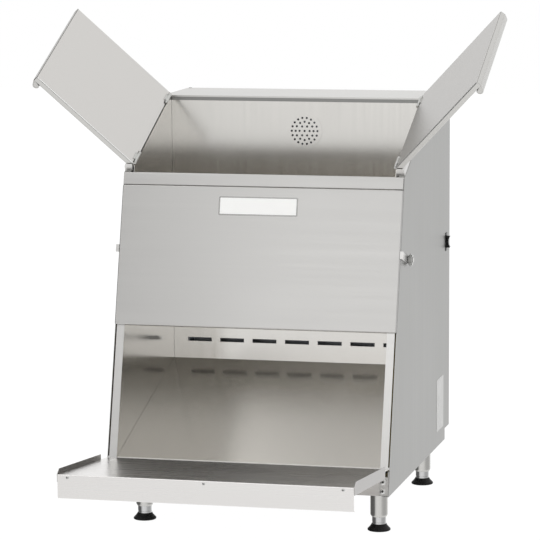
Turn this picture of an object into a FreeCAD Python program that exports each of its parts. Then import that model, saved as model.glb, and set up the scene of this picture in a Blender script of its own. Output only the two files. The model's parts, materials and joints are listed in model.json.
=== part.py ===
import FreeCAD, Part
import math
import os

import Sketcher

# Chip warmer: a heated stainless bin on four legs. Chips go in at the sloping top, under two
# butterfly lids, and come out at the slanting front, over a landing tray. A blower behind the
# bin draws air through a round vent, warms it and sends it back in near the floor.
# Frame: +X is the warmer's left-to-right as seen from the front, +Y goes to the back, +Z is up.
# The origin is on the floor, below the middle of the whole warmer.

DRIVING_SIZES = (
    # Cabinet
    ("half_width", 310.0), ("sheet", 1.2), ("base_height", 102.0), ("cabinet_depth", 703.0),
    ("top_height", 902.7), ("front_length", 678.0), ("front_tilt", 14.6), ("top_tilt", 23.6),
    ("notch_depth", 53.0), ("notch_height", 25.6), ("flange", 14.0), ("fit_gap", 0.3),
    ("overrun", 5.0), ("panel_inset", 2.0),
    # Bin
    ("bin_half_width", 289.0), ("bin_back_depth", 481.8), ("bin_floor_back", 300.0),
    ("bin_back_drop", 10.0), ("cover_return", 2.3),
    ("sill_length", 59.0), ("hem", 10.0), ("bin_rim_drop", 5.2),
    ("outlet_width", 56.0), ("outlet_height", 9.0), ("outlet_pitch", 76.0), ("outlet_rise", 45.0),
    # Round vent in the back of the bin
    ("vent_x", 20.0), ("vent_height", 826.0), ("vent_radius", 34.0), ("vent_disc_radius", 40.0),
    ("vent_hole", 2.6), ("vent_ring", 29.5), ("vent_ring_step", 9.0),
    # Front frame and lift door
    ("guide_slot", 3.0), ("door_bottom", 346.0), ("door_top", 650.5), ("door_depth", 6.0),
    ("door_gap", 1.0), ("door_inset", 0.5), ("guide_sheet", 1.2), ("guide_back", 4.2),
    ("guide_lip", 8.4), ("guide_end", 14.0), ("rail_gap", 1.0), ("rail_rise", 29.5),
    ("rail_depth", 5.0), ("rail_slope_drop", 8.0),
    # Side grips and clamp knobs of the door
    ("grip_rise", 157.5), ("grip_height", 16.0), ("grip_tab", 6.5), ("grip_tab_depth", 4.0),
    ("grip_sheet", 2.0), ("grip_clear", 0.8), ("knob_depth", 72.0), ("knob_radius", 13.5),
    ("knob_height", 9.0), ("knob_step", 3.0), ("knob_clear", 0.4), ("knob_stud", 3.0),
    ("knob_hole_clear", 0.05), ("stud_head", 1.5),
    # Lids and hinges
    ("lid_rise", 17.3), ("lid_back_gap", 7.27), ("lid_width", 284.0), ("lid_thick", 12.0),
    ("lid_open", 132.0), ("hinge_x", 288.0), ("hinge_inset", 30.0),
    ("knuckle_radius", 3.5), ("knuckle_long", 27.0), ("knuckle_end", 8.0), ("knuckle_gap", 0.4),
    ("pin_radius", 1.8), ("pin_clear", 0.05), ("pin_over", 1.5), ("leaf_sheet", 1.2),
    ("leaf_long", 9.0), ("leaf_drop", 12.0), ("lip_lean", 30.0), ("lip_straight", 11.0),
    ("curl_radius", 7.5), ("curl_end", 215.0), ("lip_trim", 1.0),
    ("hinge_rail_inner", 292.2), ("hinge_rail_outer", 309.4), ("hinge_rail_rise", 2.4),
    ("hinge_rail_round", 7.0), ("hinge_rail_lead", 2.0),
    # Landing tray
    ("shelf_reach", 338.0), ("tray_back_depth", 6.0), ("tray_back_height", 160.3),
    ("tray_front_height", 192.8), ("apron_height", 50.0), ("apron_lip", 8.0),
    ("rim_height", 10.6), ("arm_height", 27.0), ("arm_back_reach", 35.0), ("arm_nose", 14.0),
    ("bracket_sheet", 1.6), ("bracket_reach", 60.0), ("bracket_bend", 45.0),
    ("bracket_joggle", 6.1), ("bracket_root", 20.0), ("bracket_low", 150.5),
    ("bracket_high", 156.4), ("hook_slot_inner", 300.5), ("hook_slot_outer", 306.0),
    ("hook_slot_low", 41.5), ("hook_slot_high", 57.0), ("stile_neck", 62.0),
    ("hook_notch", 12.0), ("hook_notch_height", 3.2),
    ("frame_screw_x", 296.5), ("frame_screw_low", 11.5), ("frame_screw_high", 31.0),
    ("screw_radius", 6.0), ("screw_head", 2.0), ("apron_screw_radius", 3.0),
    ("apron_screw_x", 287.0), ("apron_screw_drop", 6.0),
    # Back cover, cord inlet and screws
    ("louvre_width", 90.0), ("louvre_height", 6.0), ("louvre_pitch", 16.0), ("louvre_low", 640.0),
    ("inlet_x", 230.0), ("inlet_height", 190.0), ("inlet_radius", 11.0), ("inlet_bore", 5.0),
    ("inlet_flange_radius", 15.0), ("inlet_flange", 3.0), ("inlet_inside", 12.0),
    ("cover_screw_inset", 7.0), ("cover_screw_radius", 4.0), ("cover_screw_head", 1.8),
    # Legs and feet
    ("leg_x", 262.0), ("front_leg_depth", 134.0), ("rear_leg_depth", 627.0), ("leg_radius", 19.0),
    ("leg_wall", 1.5), ("leg_end_height", 30.4), ("leg_taper", 6.0), ("sleeve_radius", 15.2),
    ("sleeve_clear", 0.3), ("sleeve_inside", 34.0), ("foot_top_radius", 16.5),
    ("foot_radius", 25.0), ("foot_height", 14.6), ("foot_edge", 4.0),
    # Power switch
    ("switch_depth", 660.0), ("switch_height", 561.0), ("bezel_width", 18.0),
    ("bezel_height", 42.0), ("bezel_thick", 1.2), ("switch_body_width", 13.0),
    ("switch_body_height", 34.0), ("switch_body_reach", 22.0), ("rocker_width", 9.5),
    ("rocker_height", 27.0), ("rocker_gap", 0.5), ("rocker_crown", 9.0),
    ("rocker_saddle", 24.0), ("rocker_root", 6.0),
    # Blower, heater and controls
    ("wheel_radius", 46.0), ("wheel_inner", 36.0), ("wheel_long", 34.0), ("wheel_disc", 1.5),
    ("blade_thick", 1.0), ("blade_curve", 8.0), ("hub_radius", 8.0), ("shaft_radius", 3.0),
    ("shaft_clear", 0.05), ("scroll_radius", 54.0), ("scroll_growth", 16.0), ("scroll_sheet", 1.5),
    ("scroll_depth", 46.0), ("scroll_neck", 60.0), ("motor_radius", 36.0), ("motor_long", 62.0),
    ("motor_boss", 10.0), ("wheel_gap", 3.0), ("plenum_gap", 0.3), ("scroll_inlet", 32.0),
    ("duct_bottom", 318.0), ("duct_half_width", 255.0), ("duct_depth", 46.0),
    ("duct_neck_height", 660.0), ("heater_radius", 4.0), ("heater_bend", 14.0),
    ("heater_half_width", 120.0), ("heater_passes", 4.0), ("heater_height", 560.0),
    ("heater_flange", 24.0), ("heater_plate", 2.0), ("heater_pin", 2.0), ("heater_pin_long", 14.0),
    ("thermostat_radius", 16.0), ("thermostat_long", 20.0),
    ("thermostat_x", 150.0), ("thermostat_height", 420.0), ("terminal_x", 200.0),
    ("terminal_width", 60.0), ("terminal_depth", 22.0), ("terminal_height", 18.0),
    ("terminal_well", 3.0),
    ("insulation_thick", 16.0), ("insulation_back", 60.0), ("insulation_top", 44.0),
)
VENT_HOLES = (18, 12, 6)
BLADES = 16
BLADE_CHORDS = 3
PRISM_SIDES = 12
HOLE_SIDES = 8
KNOB_SIDES = 24
LEG_SIDES = 36
BEND_CHORDS = 6
LOUVRES = 9
OUTLETS = 7
MITRE_SHARE = math.sqrt(2) - 1

doc = FreeCAD.newDocument("ChipWarmer")
sheet = doc.addObject("Spreadsheet::Sheet", "Sizes")


class Size:
    """A length or angle that keeps its number beside the sheet formula it comes from."""

    def __init__(self, number, formula):
        self.number = float(number)
        self.formula = formula

    def joined(self, other, sign, number):
        return Size(number, "(%s %s %s)" % (self.formula, sign, as_size(other).formula))

    def __add__(self, other):
        return self.joined(other, "+", self.number + as_size(other).number)

    def __sub__(self, other):
        return self.joined(other, "-", self.number - as_size(other).number)

    def __mul__(self, other):
        return self.joined(other, "*", self.number * as_size(other).number)

    def __truediv__(self, other):
        return self.joined(other, "/", self.number / as_size(other).number)

    def __neg__(self):
        return Size(-self.number, "(0 - %s)" % self.formula)

    def __rmul__(self, other):
        return as_size(other) * self

    def __radd__(self, other):
        return as_size(other) + self

    def __rsub__(self, other):
        return as_size(other) - self


def as_size(value):
    """Turn a plain share or zero into a Size."""
    return value if isinstance(value, Size) else Size(value, repr(float(value)))


def sine(angle):
    return Size(math.sin(math.radians(angle.number)), "sin(%s)" % angle.formula)


def cosine(angle):
    return Size(math.cos(math.radians(angle.number)), "cos(%s)" % angle.formula)


def tangent(angle):
    return Size(math.tan(math.radians(angle.number)), "tan(%s)" % angle.formula)


class Sizes:
    """The driving sizes by name, each bound to its cell of the sheet."""


S = Sizes()
for row, (alias, value) in enumerate(DRIVING_SIZES, start=1):
    sheet.set("A%d" % row, alias)
    sheet.set("B%d" % row, str(value))
    sheet.setAlias("B%d" % row, alias)
    setattr(S, alias, Size(value, "Sizes." + alias))
doc.recompute()

PARTS = {}
ZERO = as_size(0)


# Makers: each one binds its sizes to the sheet

def bind(part, prop, value):
    part.setExpression(prop, as_size(value).formula)


def keep(name, part, placement=None):
    """Give a finished sub-part its name and its place."""
    part.Label = name
    if placement is not None:
        part.Placement = placement
    PARTS[name] = part
    return part


def ordered(side, low, high):
    """A span across X on the side -1 or +1, lowest end first."""
    return (low, high) if side > 0 else (-high, -low)


def box(name, x, y, z):
    """A block between three pairs of low and high sizes."""
    part = doc.addObject("Part::Box", name)
    for prop, axis, (low, high) in zip(("Length", "Width", "Height"), "xyz", (x, y, z)):
        low = as_size(low)
        bind(part, prop, high - low)
        bind(part, "Placement.Base." + axis, low)
    return part


TURNS = {
    "x": FreeCAD.Rotation(FreeCAD.Vector(0, 1, 0), 90),
    "y": FreeCAD.Rotation(FreeCAD.Vector(1, 0, 0), -90),
    "z": FreeCAD.Rotation(),
}


def rod(name, base, radius, length, axis):
    """A cylinder from a base point along +X, +Y or +Z."""
    part = doc.addObject("Part::Cylinder", name)
    bind(part, "Radius", radius)
    bind(part, "Height", length)
    part.Placement = FreeCAD.Placement(FreeCAD.Vector(), TURNS[axis])
    for letter, value in zip("xyz", base):
        bind(part, "Placement.Base." + letter, value)
    return part


def prism(name, base, radius, length, axis, sides=PRISM_SIDES):
    """A many-sided bar, for what is small and repeated. TURNS names its axis."""
    part = doc.addObject("Part::Prism", name)
    part.Polygon = sides
    bind(part, "Circumradius", radius)
    bind(part, "Height", length)
    part.Placement = FreeCAD.Placement(FreeCAD.Vector(), TURNS[axis])
    for letter, value in zip("xyz", base):
        bind(part, "Placement.Base." + letter, value)
    return part


def frustum(name, base, low_radius, high_radius, length, sides):
    """A many-sided bar that tapers upward from a base point: flat sides between two rings."""
    rings = []
    for radius, lift in ((low_radius, ZERO), (high_radius, as_size(length))):
        turns = [math.tau * corner / sides for corner in range(sides)]
        rings.append([FreeCAD.Vector(base[0].number + radius.number * math.cos(turn),
                                     base[1].number + radius.number * math.sin(turn),
                                     base[2].number + lift.number) for turn in turns])
    low, high = rings
    outlines = [[low[k - 1], low[k], high[k], high[k - 1]] for k in range(sides)] + [low, high]
    faces = [Part.Face(Part.makePolygon(corners + corners[:1])) for corners in outlines]
    part = doc.addObject("Part::Feature", name)
    part.Shape = Part.makeSolid(Part.makeShell(faces))
    return part


def fuse(name, parts):
    part = doc.addObject("Part::MultiFuse", name)
    part.Shapes = parts
    part.Refine = True
    return part


def group(name, parts):
    """Separate solids that share one node."""
    part = doc.addObject("Part::Compound", name)
    part.Links = parts
    return part


def cut(name, base, tools):
    part = doc.addObject("Part::Cut", name)
    part.Base = base
    part.Tool = tools[0] if len(tools) == 1 else fuse(name + "_tools", tools)
    return part


def origin_plane(body, role):
    return [plane for plane in body.Origin.OriginFeatures if plane.Role == role][0]


def hold(sketch, geometry, point, place):
    """Hold a point of the sketch at two sizes from its origin."""
    for kind, axis, value in (("DistanceX", -2, place[0]), ("DistanceY", -1, place[1])):
        value = as_size(value)
        if value.formula in ("0.0", "(0 - 0.0)"):
            sketch.addConstraint(Sketcher.Constraint("PointOnObject", geometry, point, axis))
            continue
        index = sketch.addConstraint(
            Sketcher.Constraint(kind, -1, 1, geometry, point, value.number))
        bind(sketch, "Constraints[%d]" % index, value)


def outline_sketch(body, name, plane, offset, points, arcs=None):
    """A closed outline. arcs maps the index of an edge to its centre, radius and turn."""
    sketch = body.newObject("Sketcher::SketchObject", name)
    sketch.AttachmentSupport = [(origin_plane(body, plane), "")]
    sketch.MapMode = "FlatFace"
    bind(sketch, "AttachmentOffset.Base.z", offset)
    arcs = arcs or {}
    count = len(points)
    starts = []
    flat = [FreeCAD.Vector(as_size(a).number, as_size(b).number, 0) for a, b in points]
    for index in range(count):
        first, last = flat[index], flat[(index + 1) % count]
        if index not in arcs:
            sketch.addGeometry(Part.LineSegment(first, last), False)
            starts.append((1, 2))
            continue
        centre, radius, turn = arcs[index]
        middle = FreeCAD.Vector(as_size(centre[0]).number, as_size(centre[1]).number, 0)
        angles = [math.atan2(end.y - middle.y, end.x - middle.x) for end in (first, last)]
        if turn < 0:
            angles.reverse()
        circle = Part.Circle(middle, FreeCAD.Vector(0, 0, 1), radius.number)
        sketch.addGeometry(Part.ArcOfCircle(circle, angles[0], angles[1]), False)
        starts.append((1, 2) if turn > 0 else (2, 1))
    for index in range(count):
        following = (index + 1) % count
        sketch.addConstraint(Sketcher.Constraint(
            "Coincident", index, starts[index][1], following, starts[following][0]))
    for index, place in enumerate(points):
        hold(sketch, index, starts[index][0], place)
    for index, (centre, radius, turn) in arcs.items():
        held = sketch.addConstraint(Sketcher.Constraint("Radius", index, radius.number))
        bind(sketch, "Constraints[%d]" % held, radius)
    return sketch


def circle_sketch(body, name, plane, offset, circles):
    """Round holes: pairs of a centre and a radius."""
    sketch = body.newObject("Sketcher::SketchObject", name)
    sketch.AttachmentSupport = [(origin_plane(body, plane), "")]
    sketch.MapMode = "FlatFace"
    bind(sketch, "AttachmentOffset.Base.z", offset)
    for index, (centre, radius) in enumerate(circles):
        middle = FreeCAD.Vector(as_size(centre[0]).number, as_size(centre[1]).number, 0)
        sketch.addGeometry(Part.Circle(middle, FreeCAD.Vector(0, 0, 1), radius.number), False)
        hold(sketch, index, 3, centre)
        held = sketch.addConstraint(Sketcher.Constraint("Radius", index, radius.number))
        bind(sketch, "Constraints[%d]" % held, radius)
    return sketch


def new_body(name):
    return doc.addObject("PartDesign::Body", name)


def pad(body, sketch, length, name="Pad"):
    feature = body.newObject("PartDesign::Pad", name)
    feature.Profile = sketch
    bind(feature, "Length", length)
    return feature


def pocket(body, sketch, length, name="Pocket"):
    """Cuts from the sketch against its normal."""
    feature = body.newObject("PartDesign::Pocket", name)
    feature.Profile = sketch
    bind(feature, "Length", length)
    return feature


def bar(name, plane, points, low, high, arcs=None):
    """An outline carried from one offset to another along its plane's normal."""
    body = new_body(name)
    sketch = outline_sketch(body, name + "_outline", plane, low, points, arcs)
    pad(body, sketch, as_size(high) - low, name + "_pad")
    return body


def across_bar(name, side, points, low, high, arcs=None):
    """An outline in Y and Z, carried across X on one side."""
    low, high = ordered(side, as_size(low), as_size(high))
    return bar(name, "YZ_Plane", points, low, high, arcs)


def open_face(body, feature, picks, thickness, name):
    """Hollow a pad to sheet, open at the faces whose outward normal picks accepts."""
    doc.recompute()
    faces = []
    for index, face in enumerate(feature.Shape.Faces, start=1):
        if picks(face.normalAt(0, 0), face.CenterOfMass):
            faces.append("Face%d" % index)
    shell = body.newObject("PartDesign::Thickness", name)
    shell.Base = (feature, faces)
    bind(shell, "Value", thickness)
    shell.Reversed = 1
    shell.Join = 1
    return shell


# Places that several pieces share

front_reach = S.shelf_reach + S.screw_head
back_reach = S.cabinet_depth + S.inlet_flange
front_y = (front_reach - back_reach) / 2
back_y = front_y + S.cabinet_depth
lean, rise = sine(S.front_tilt), cosine(S.front_tilt)
inner_half = S.half_width - S.sheet
corner_y = front_y + S.front_length * lean
corner_z = S.base_height + S.front_length * rise
cover_z = S.top_height - S.sheet
bin_back_y = front_y + S.bin_back_depth
lid_length = (bin_back_y - corner_y) / cosine(S.top_tilt) - S.lid_back_gap
rail_seat = S.lid_rise * cosine(S.top_tilt)
stile_outer = inner_half - S.guide_slot
bin_outer = S.bin_half_width + S.sheet


def depth(value):
    """A Y place, counted back from the cabinet's lower front corner."""
    return front_y + value


def front_face_y(height, inward=ZERO):
    """Y of the slanted front at a height, moved inward along its normal."""
    return front_y + (height - S.base_height) * tangent(S.front_tilt) + inward / rise


def on_front(inward, along):
    """Y and Z of a place on the slanted front: along its slope, and inward from it."""
    return (front_y + along * lean + inward * rise, S.base_height + along * rise - inward * lean)


# The slanted front's own frame: X across, Y into the cabinet, Z up the slope
FRONT = FreeCAD.Placement(
    FreeCAD.Vector(0, front_y.number, S.base_height.number),
    FreeCAD.Rotation(FreeCAD.Vector(1, 0, 0), -S.front_tilt.number))

TURNS["front"] = FRONT.Rotation.multiply(TURNS["y"])

# The frame of the sloping top: X across, Y up the slope along the hinges, Z out of it
TOP = FreeCAD.Placement(
    FreeCAD.Vector(0, corner_y.number, corner_z.number + S.lid_rise.number),
    FreeCAD.Rotation(FreeCAD.Vector(1, 0, 0), S.top_tilt.number))


def lid_frame(side):
    """A lid's own frame: X from its hinge to its free edge, Y along the hinge, Z outward."""
    half_turn = FreeCAD.Rotation(FreeCAD.Vector(0, 0, 1), 0 if side < 0 else 180)
    start = FreeCAD.Vector(side * S.hinge_x.number, 0 if side < 0 else lid_length.number, 0)
    closed = FreeCAD.Placement(start, half_turn)
    swing = FreeCAD.Placement(
        FreeCAD.Vector(), FreeCAD.Rotation(FreeCAD.Vector(0, 1, 0), -S.lid_open.number))
    return TOP.multiply(closed).multiply(swing)


SIDES = (("left", -1), ("right", 1))


# Cabinet sheets

def side_panel(name, side):
    """The outer side: one sheet, folded in along the slope, the top, the back and the bottom."""
    step_y = bin_back_y + S.sheet + S.fit_gap * 2
    step_z = corner_z + (step_y - corner_y) * tangent(S.top_tilt)
    points = [
        (front_y, S.base_height), (back_y - S.notch_depth, S.base_height),
        (back_y - S.notch_depth, S.base_height + S.notch_height),
        (back_y - S.sheet, S.base_height + S.notch_height),
        (back_y - S.sheet, cover_z), (step_y, cover_z), (step_y, step_z), (corner_y, corner_z)]
    body = new_body(name)
    low, high = ordered(side, S.half_width - S.flange, S.half_width)
    sketch = outline_sketch(body, name + "_outline", "YZ_Plane", low, points)
    pad(body, sketch, high - low, name + "_pad")
    wall = S.sheet
    lead = front_y - S.overrun
    under = step_z - wall / cosine(S.top_tilt)
    low_z, notch_z = S.base_height + wall, S.base_height + S.notch_height + wall
    hollow = [
        (lead, low_z), (back_y - S.notch_depth - wall, low_z),
        (back_y - S.notch_depth - wall, notch_z), (back_y - wall * 2, notch_z),
        (back_y - wall * 2, cover_z - wall), (step_y + wall, cover_z - wall),
        (step_y + wall, under + wall * tangent(S.top_tilt)),
        (corner_y - S.overrun, under - (step_y - corner_y + S.overrun) * tangent(S.top_tilt))]
    far = inner_half if side > 0 else S.flange + S.overrun - S.half_width
    inside = outline_sketch(body, name + "_inside", "YZ_Plane", far, hollow)
    pocket(body, inside, S.flange - wall + S.overrun, name + "_fold")
    if side > 0:
        cutout = outline_sketch(
            body, name + "_switch", "YZ_Plane", S.half_width + S.overrun,
            rectangle(depth(S.switch_depth), S.switch_height,
                      S.switch_body_width / 2 + S.fit_gap, S.switch_body_height / 2 + S.fit_gap))
        pocket(body, cutout, S.overrun * 2, name + "_cutout")
    notch_top = S.base_height + S.hook_slot_high * rise
    start = high + S.overrun
    notch = outline_sketch(body, name + "_hook", "YZ_Plane", start, [
        (front_y - S.overrun, notch_top - S.hook_notch_height),
        (front_y + S.hook_notch, notch_top - S.hook_notch_height),
        (front_y + S.hook_notch, notch_top), (front_y - S.overrun, notch_top)])
    pocket(body, notch, S.flange + S.overrun * 2, name + "_hook_notch")
    keep(name, body)


def rectangle(middle_a, middle_b, half_a, half_b):
    return [(middle_a - half_a, middle_b - half_b), (middle_a + half_a, middle_b - half_b),
            (middle_a + half_a, middle_b + half_b), (middle_a - half_a, middle_b + half_b)]


def base_pan():
    """The floor of the cabinet, stepped up over the notch at the back."""
    low, step = S.base_height + S.sheet, S.base_height + S.notch_height
    riser = back_y - S.notch_depth - S.sheet
    points = [
        (front_y + S.panel_inset, low), (riser, low), (riser, step + S.sheet),
        (back_y - S.sheet * 2, step + S.sheet), (back_y - S.sheet * 2, step + S.sheet * 2),
        (riser - S.sheet, step + S.sheet * 2), (riser - S.sheet, low + S.sheet),
        (front_y + S.panel_inset, low + S.sheet)]
    keep("base_pan", bar("base_pan", "YZ_Plane", points,
                         -inner_half + S.fit_gap, inner_half - S.fit_gap))


def back_cover():
    """The screwed-on back, with a field of cooling louvres and the cord's inlet hole."""
    name = "back_cover"
    body = new_body(name)
    low_z = S.base_height + S.notch_height
    plate = outline_sketch(body, name + "_outline", "XZ_Plane", -back_y, [
        (-S.half_width, low_z), (S.half_width, low_z),
        (S.half_width, cover_z), (-S.half_width, cover_z)])
    pad(body, plate, S.sheet, name + "_pad")
    louvre = outline_sketch(
        body, name + "_louvre", "XZ_Plane", -back_y + S.sheet + S.overrun,
        rectangle(S.vent_x, S.louvre_low, S.louvre_width / 2, S.louvre_height / 2))
    slot = pocket(body, louvre, S.overrun * 2, name + "_slot")
    doc.recompute()
    rows = body.newObject("PartDesign::LinearPattern", name + "_louvres")
    rows.Originals = [slot]
    rows.Direction = (louvre, ["V_Axis"])
    bind(rows, "Length", S.louvre_pitch * (LOUVRES - 1))
    rows.Occurrences = LOUVRES
    body.Tip = rows
    inlet = circle_sketch(body, name + "_inlet", "XZ_Plane", -back_y + S.sheet + S.overrun,
                          [((S.inlet_x, S.inlet_height), S.inlet_radius)])
    pocket(body, inlet, S.overrun * 2, name + "_inlet_hole")
    keep(name, body)


def cord_inlet():
    """The flanged bush in the back cover where a cord would come in."""
    start = back_y - S.inlet_inside
    barrel = rod("inlet_barrel", (S.inlet_x, start, S.inlet_height),
                 S.inlet_radius - S.fit_gap, S.inlet_inside, "y")
    flange = prism("inlet_flange_ring", (S.inlet_x, back_y, S.inlet_height),
                   S.inlet_flange_radius, S.inlet_flange, "y")
    bore = rod("inlet_bore_hole", (S.inlet_x, start - S.overrun, S.inlet_height),
               S.inlet_bore, S.inlet_inside + S.inlet_flange + S.overrun * 2, "y")
    keep("cord_inlet", cut("cord_inlet", fuse("inlet_body", [barrel, flange]), [bore]))


def top_cover():
    """The flat top behind the bin, turned down at its front edge."""
    points = [
        (bin_back_y, cover_z - S.cover_return), (bin_back_y, S.top_height),
        (back_y, S.top_height), (back_y, cover_z), (bin_back_y + S.sheet, cover_z),
        (bin_back_y + S.sheet, cover_z - S.cover_return)]
    keep("top_cover", bar("top_cover", "YZ_Plane", points, -S.half_width, S.half_width))


def cover_screws():
    """The screws that hold the back cover and the top cover."""
    heads = []
    inset = S.cover_screw_inset
    rows = (S.base_height + S.notch_height + inset, (S.base_height + S.top_height) / 2,
            cover_z - inset)
    for side in (-1, 1):
        for number, height in enumerate(rows):
            heads.append(prism("back_screw_%d_%d" % (side + 1, number),
                             (side * (S.half_width - inset), back_y, height),
                             S.cover_screw_radius, S.cover_screw_head, "y"))
        for number, place in enumerate((S.bin_back_depth + inset * 3, S.cabinet_depth - inset)):
            heads.append(prism("top_screw_%d_%d" % (side + 1, number),
                             (side * (S.half_width - inset), depth(place), S.top_height),
                             S.cover_screw_radius, S.cover_screw_head, "z"))
    keep("cover_screws", group("cover_screws", heads))


# Bin

def bin_side(name, side):
    """The bin's side sheet, between the front frame and the back of the bin."""
    rim = corner_z + S.lid_rise - S.bin_rim_drop / cosine(S.top_tilt)
    top_y = bin_back_y - S.fit_gap
    slope = tangent(S.top_tilt)
    low_z = S.base_height + S.sheet * 2
    inset = S.sheet + S.fit_gap
    behind = S.rail_depth + S.fit_gap
    reach = (rim - S.base_height + behind * lean
             + (front_y + behind * rise - corner_y) * slope) / (rise - lean * slope)
    points = [
        (front_face_y(low_z, inset), low_z), (top_y, low_z),
        (top_y, rim + (top_y - corner_y) * slope), on_front(behind, reach),
        on_front(behind, S.door_top), on_front(inset, S.door_top)]
    keep(name, across_bar(name, side, points, S.bin_half_width, bin_outer))


def bin_back():
    """The polished back of the bin, with the blower's round inlet and a row of air outlets."""
    name = "bin_back"
    body = new_body(name)
    half = S.bin_half_width - S.fit_gap
    low_z = S.base_height + S.sheet * 2
    far = bin_back_y + S.sheet
    rim = cover_z - S.bin_back_drop
    plate = outline_sketch(body, name + "_outline", "XZ_Plane", -far, [
        (-half, low_z), (half, low_z), (half, rim), (-half, rim)])
    pad(body, plate, S.sheet, name + "_pad")
    start = -far + S.sheet + S.overrun
    hole = circle_sketch(body, name + "_vent", "XZ_Plane", start,
                         [((S.vent_x, S.vent_height), S.vent_radius)])
    pocket(body, hole, S.overrun * 2, name + "_vent_hole")
    first = S.outlet_pitch * (1 - OUTLETS) / 2
    outlet = outline_sketch(
        body, name + "_outlet", "XZ_Plane", start,
        rectangle(first, S.bin_floor_back + S.outlet_rise, S.outlet_width / 2,
                  S.outlet_height / 2))
    slot = pocket(body, outlet, S.overrun * 2, name + "_outlet_slot")
    doc.recompute()
    row = body.newObject("PartDesign::LinearPattern", name + "_outlets")
    row.Originals = [slot]
    row.Direction = (outlet, ["H_Axis"])
    bind(row, "Length", S.outlet_pitch * (OUTLETS - 1))
    row.Occurrences = OUTLETS
    body.Tip = row
    keep(name, body)


def bin_floor():
    """The bin's sloping floor, which lets the chips slide to the front."""
    low_z = S.base_height + S.sill_length * rise
    start = front_face_y(low_z, S.sheet + S.fit_gap)
    end = bin_back_y - S.fit_gap
    half = S.bin_half_width - S.fit_gap
    points = [(start, low_z), (end, S.bin_floor_back),
              (end, S.bin_floor_back + S.sheet), (start, low_z + S.sheet)]
    keep("bin_floor", bar("bin_floor", "YZ_Plane", points, -half, half))


def front_sill():
    """The short slanted sheet below the serving opening."""
    half = S.bin_half_width - S.fit_gap
    sill = bar("front_sill", "YZ_Plane", [
        (ZERO, S.panel_inset), (S.sheet, S.panel_inset),
        (S.sheet, S.sill_length), (ZERO, S.sill_length)], -half, half)
    keep("front_sill", sill, FRONT)


def front_upper_wall():
    """The fixed front of the bin, behind the raised door, hemmed at its lower edge."""
    half = S.bin_half_width - S.fit_gap
    low, high = S.door_bottom, S.door_top - S.fit_gap
    wall = bar("front_upper_wall", "YZ_Plane", [
        (ZERO, low), (S.hem, low), (S.hem, low + S.sheet), (S.sheet, low + S.sheet),
        (S.sheet, high), (ZERO, high)], -half, half)
    keep("front_upper_wall", wall, FRONT)


def stile(name, side):
    """The upright strip of the front frame.

    The door's guide runs outside its outer edge. Below the guide's way it is wider. There a
    slot goes in from its edge and then down, and the tray's bracket hooks into it."""
    top, wide = S.door_top - S.fit_gap, inner_half - S.fit_gap
    mouth = S.hook_slot_high - S.hook_notch_height / rise
    corners = [
        (S.bin_half_width, S.panel_inset), (wide, S.panel_inset), (wide, mouth),
        (S.hook_slot_outer, mouth), (S.hook_slot_outer, S.hook_slot_low),
        (S.hook_slot_inner, S.hook_slot_low), (S.hook_slot_inner, S.hook_slot_high),
        (wide, S.hook_slot_high), (wide, S.stile_neck),
        (stile_outer, S.stile_neck), (stile_outer, top), (S.bin_half_width, top)]
    strip = bar(name, "XZ_Plane", [(side * across, along) for across, along in corners],
                -S.sheet, ZERO)
    keep(name, strip, FRONT)


def front_rail():
    """The folded top rail of the front frame, a hollow bar under the sloping opening."""
    low = S.door_top + S.rail_gap
    high = low + S.rail_rise
    front = -(S.door_gap + S.door_depth)
    inner = high - S.rail_slope_drop
    outer = [(front, low), (S.rail_depth, low), (S.rail_depth, inner), (front, high)]
    wall = S.sheet
    hollow = [(front + wall, low + wall), (S.rail_depth - wall, low + wall),
              (S.rail_depth - wall, inner - wall), (front + wall, high - wall * 2)]
    body = new_body("front_rail")
    half = inner_half - S.fit_gap
    sketch = outline_sketch(body, "front_rail_outline", "YZ_Plane", -half, outer)
    pad(body, sketch, half * 2, "front_rail_pad")
    inside = outline_sketch(body, "front_rail_inside", "YZ_Plane", half + S.overrun, hollow)
    pocket(body, inside, (half + S.overrun) * 2, "front_rail_hollow")
    keep("front_rail", body, FRONT)


def octagon(middle, radius):
    """The corners of an eight-sided hole round a middle on the first axis."""
    corners = []
    for corner in range(HOLE_SIDES):
        turn = as_size(360 / HOLE_SIDES * (corner + 0.5))
        corners.append((middle + radius * cosine(turn), radius * sine(turn)))
    return corners


def vent_grille():
    """The round grille over the blower's inlet: rings of punched holes about its middle."""
    name = "vent_grille"
    body = new_body(name)
    disc = circle_sketch(body, name + "_disc", "XY_Plane", ZERO,
                         [((ZERO, ZERO), S.vent_disc_radius)])
    pad(body, disc, S.sheet, name + "_pad")
    start = S.sheet + S.overrun
    middle = outline_sketch(body, name + "_middle", "XY_Plane", start, octagon(ZERO, S.vent_hole))
    pocket(body, middle, S.overrun * 2, name + "_middle_hole")
    for ring, count in enumerate(VENT_HOLES):
        label = "%s_ring_%d" % (name, ring)
        sketch = outline_sketch(body, label, "XY_Plane", start,
                                octagon(S.vent_ring - S.vent_ring_step * ring, S.vent_hole))
        hole = pocket(body, sketch, S.overrun * 2, label + "_hole")
        doc.recompute()
        circle = body.newObject("PartDesign::PolarPattern", label + "_holes")
        circle.Originals = [hole]
        circle.Axis = (sketch, ["N_Axis"])
        circle.Angle = 360
        circle.Occurrences = count
        body.Tip = circle
    spot = FreeCAD.Vector(S.vent_x.number, bin_back_y.number, S.vent_height.number)
    keep(name, body, FreeCAD.Placement(spot, FreeCAD.Rotation(FreeCAD.Vector(1, 0, 0), 90)))


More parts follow.
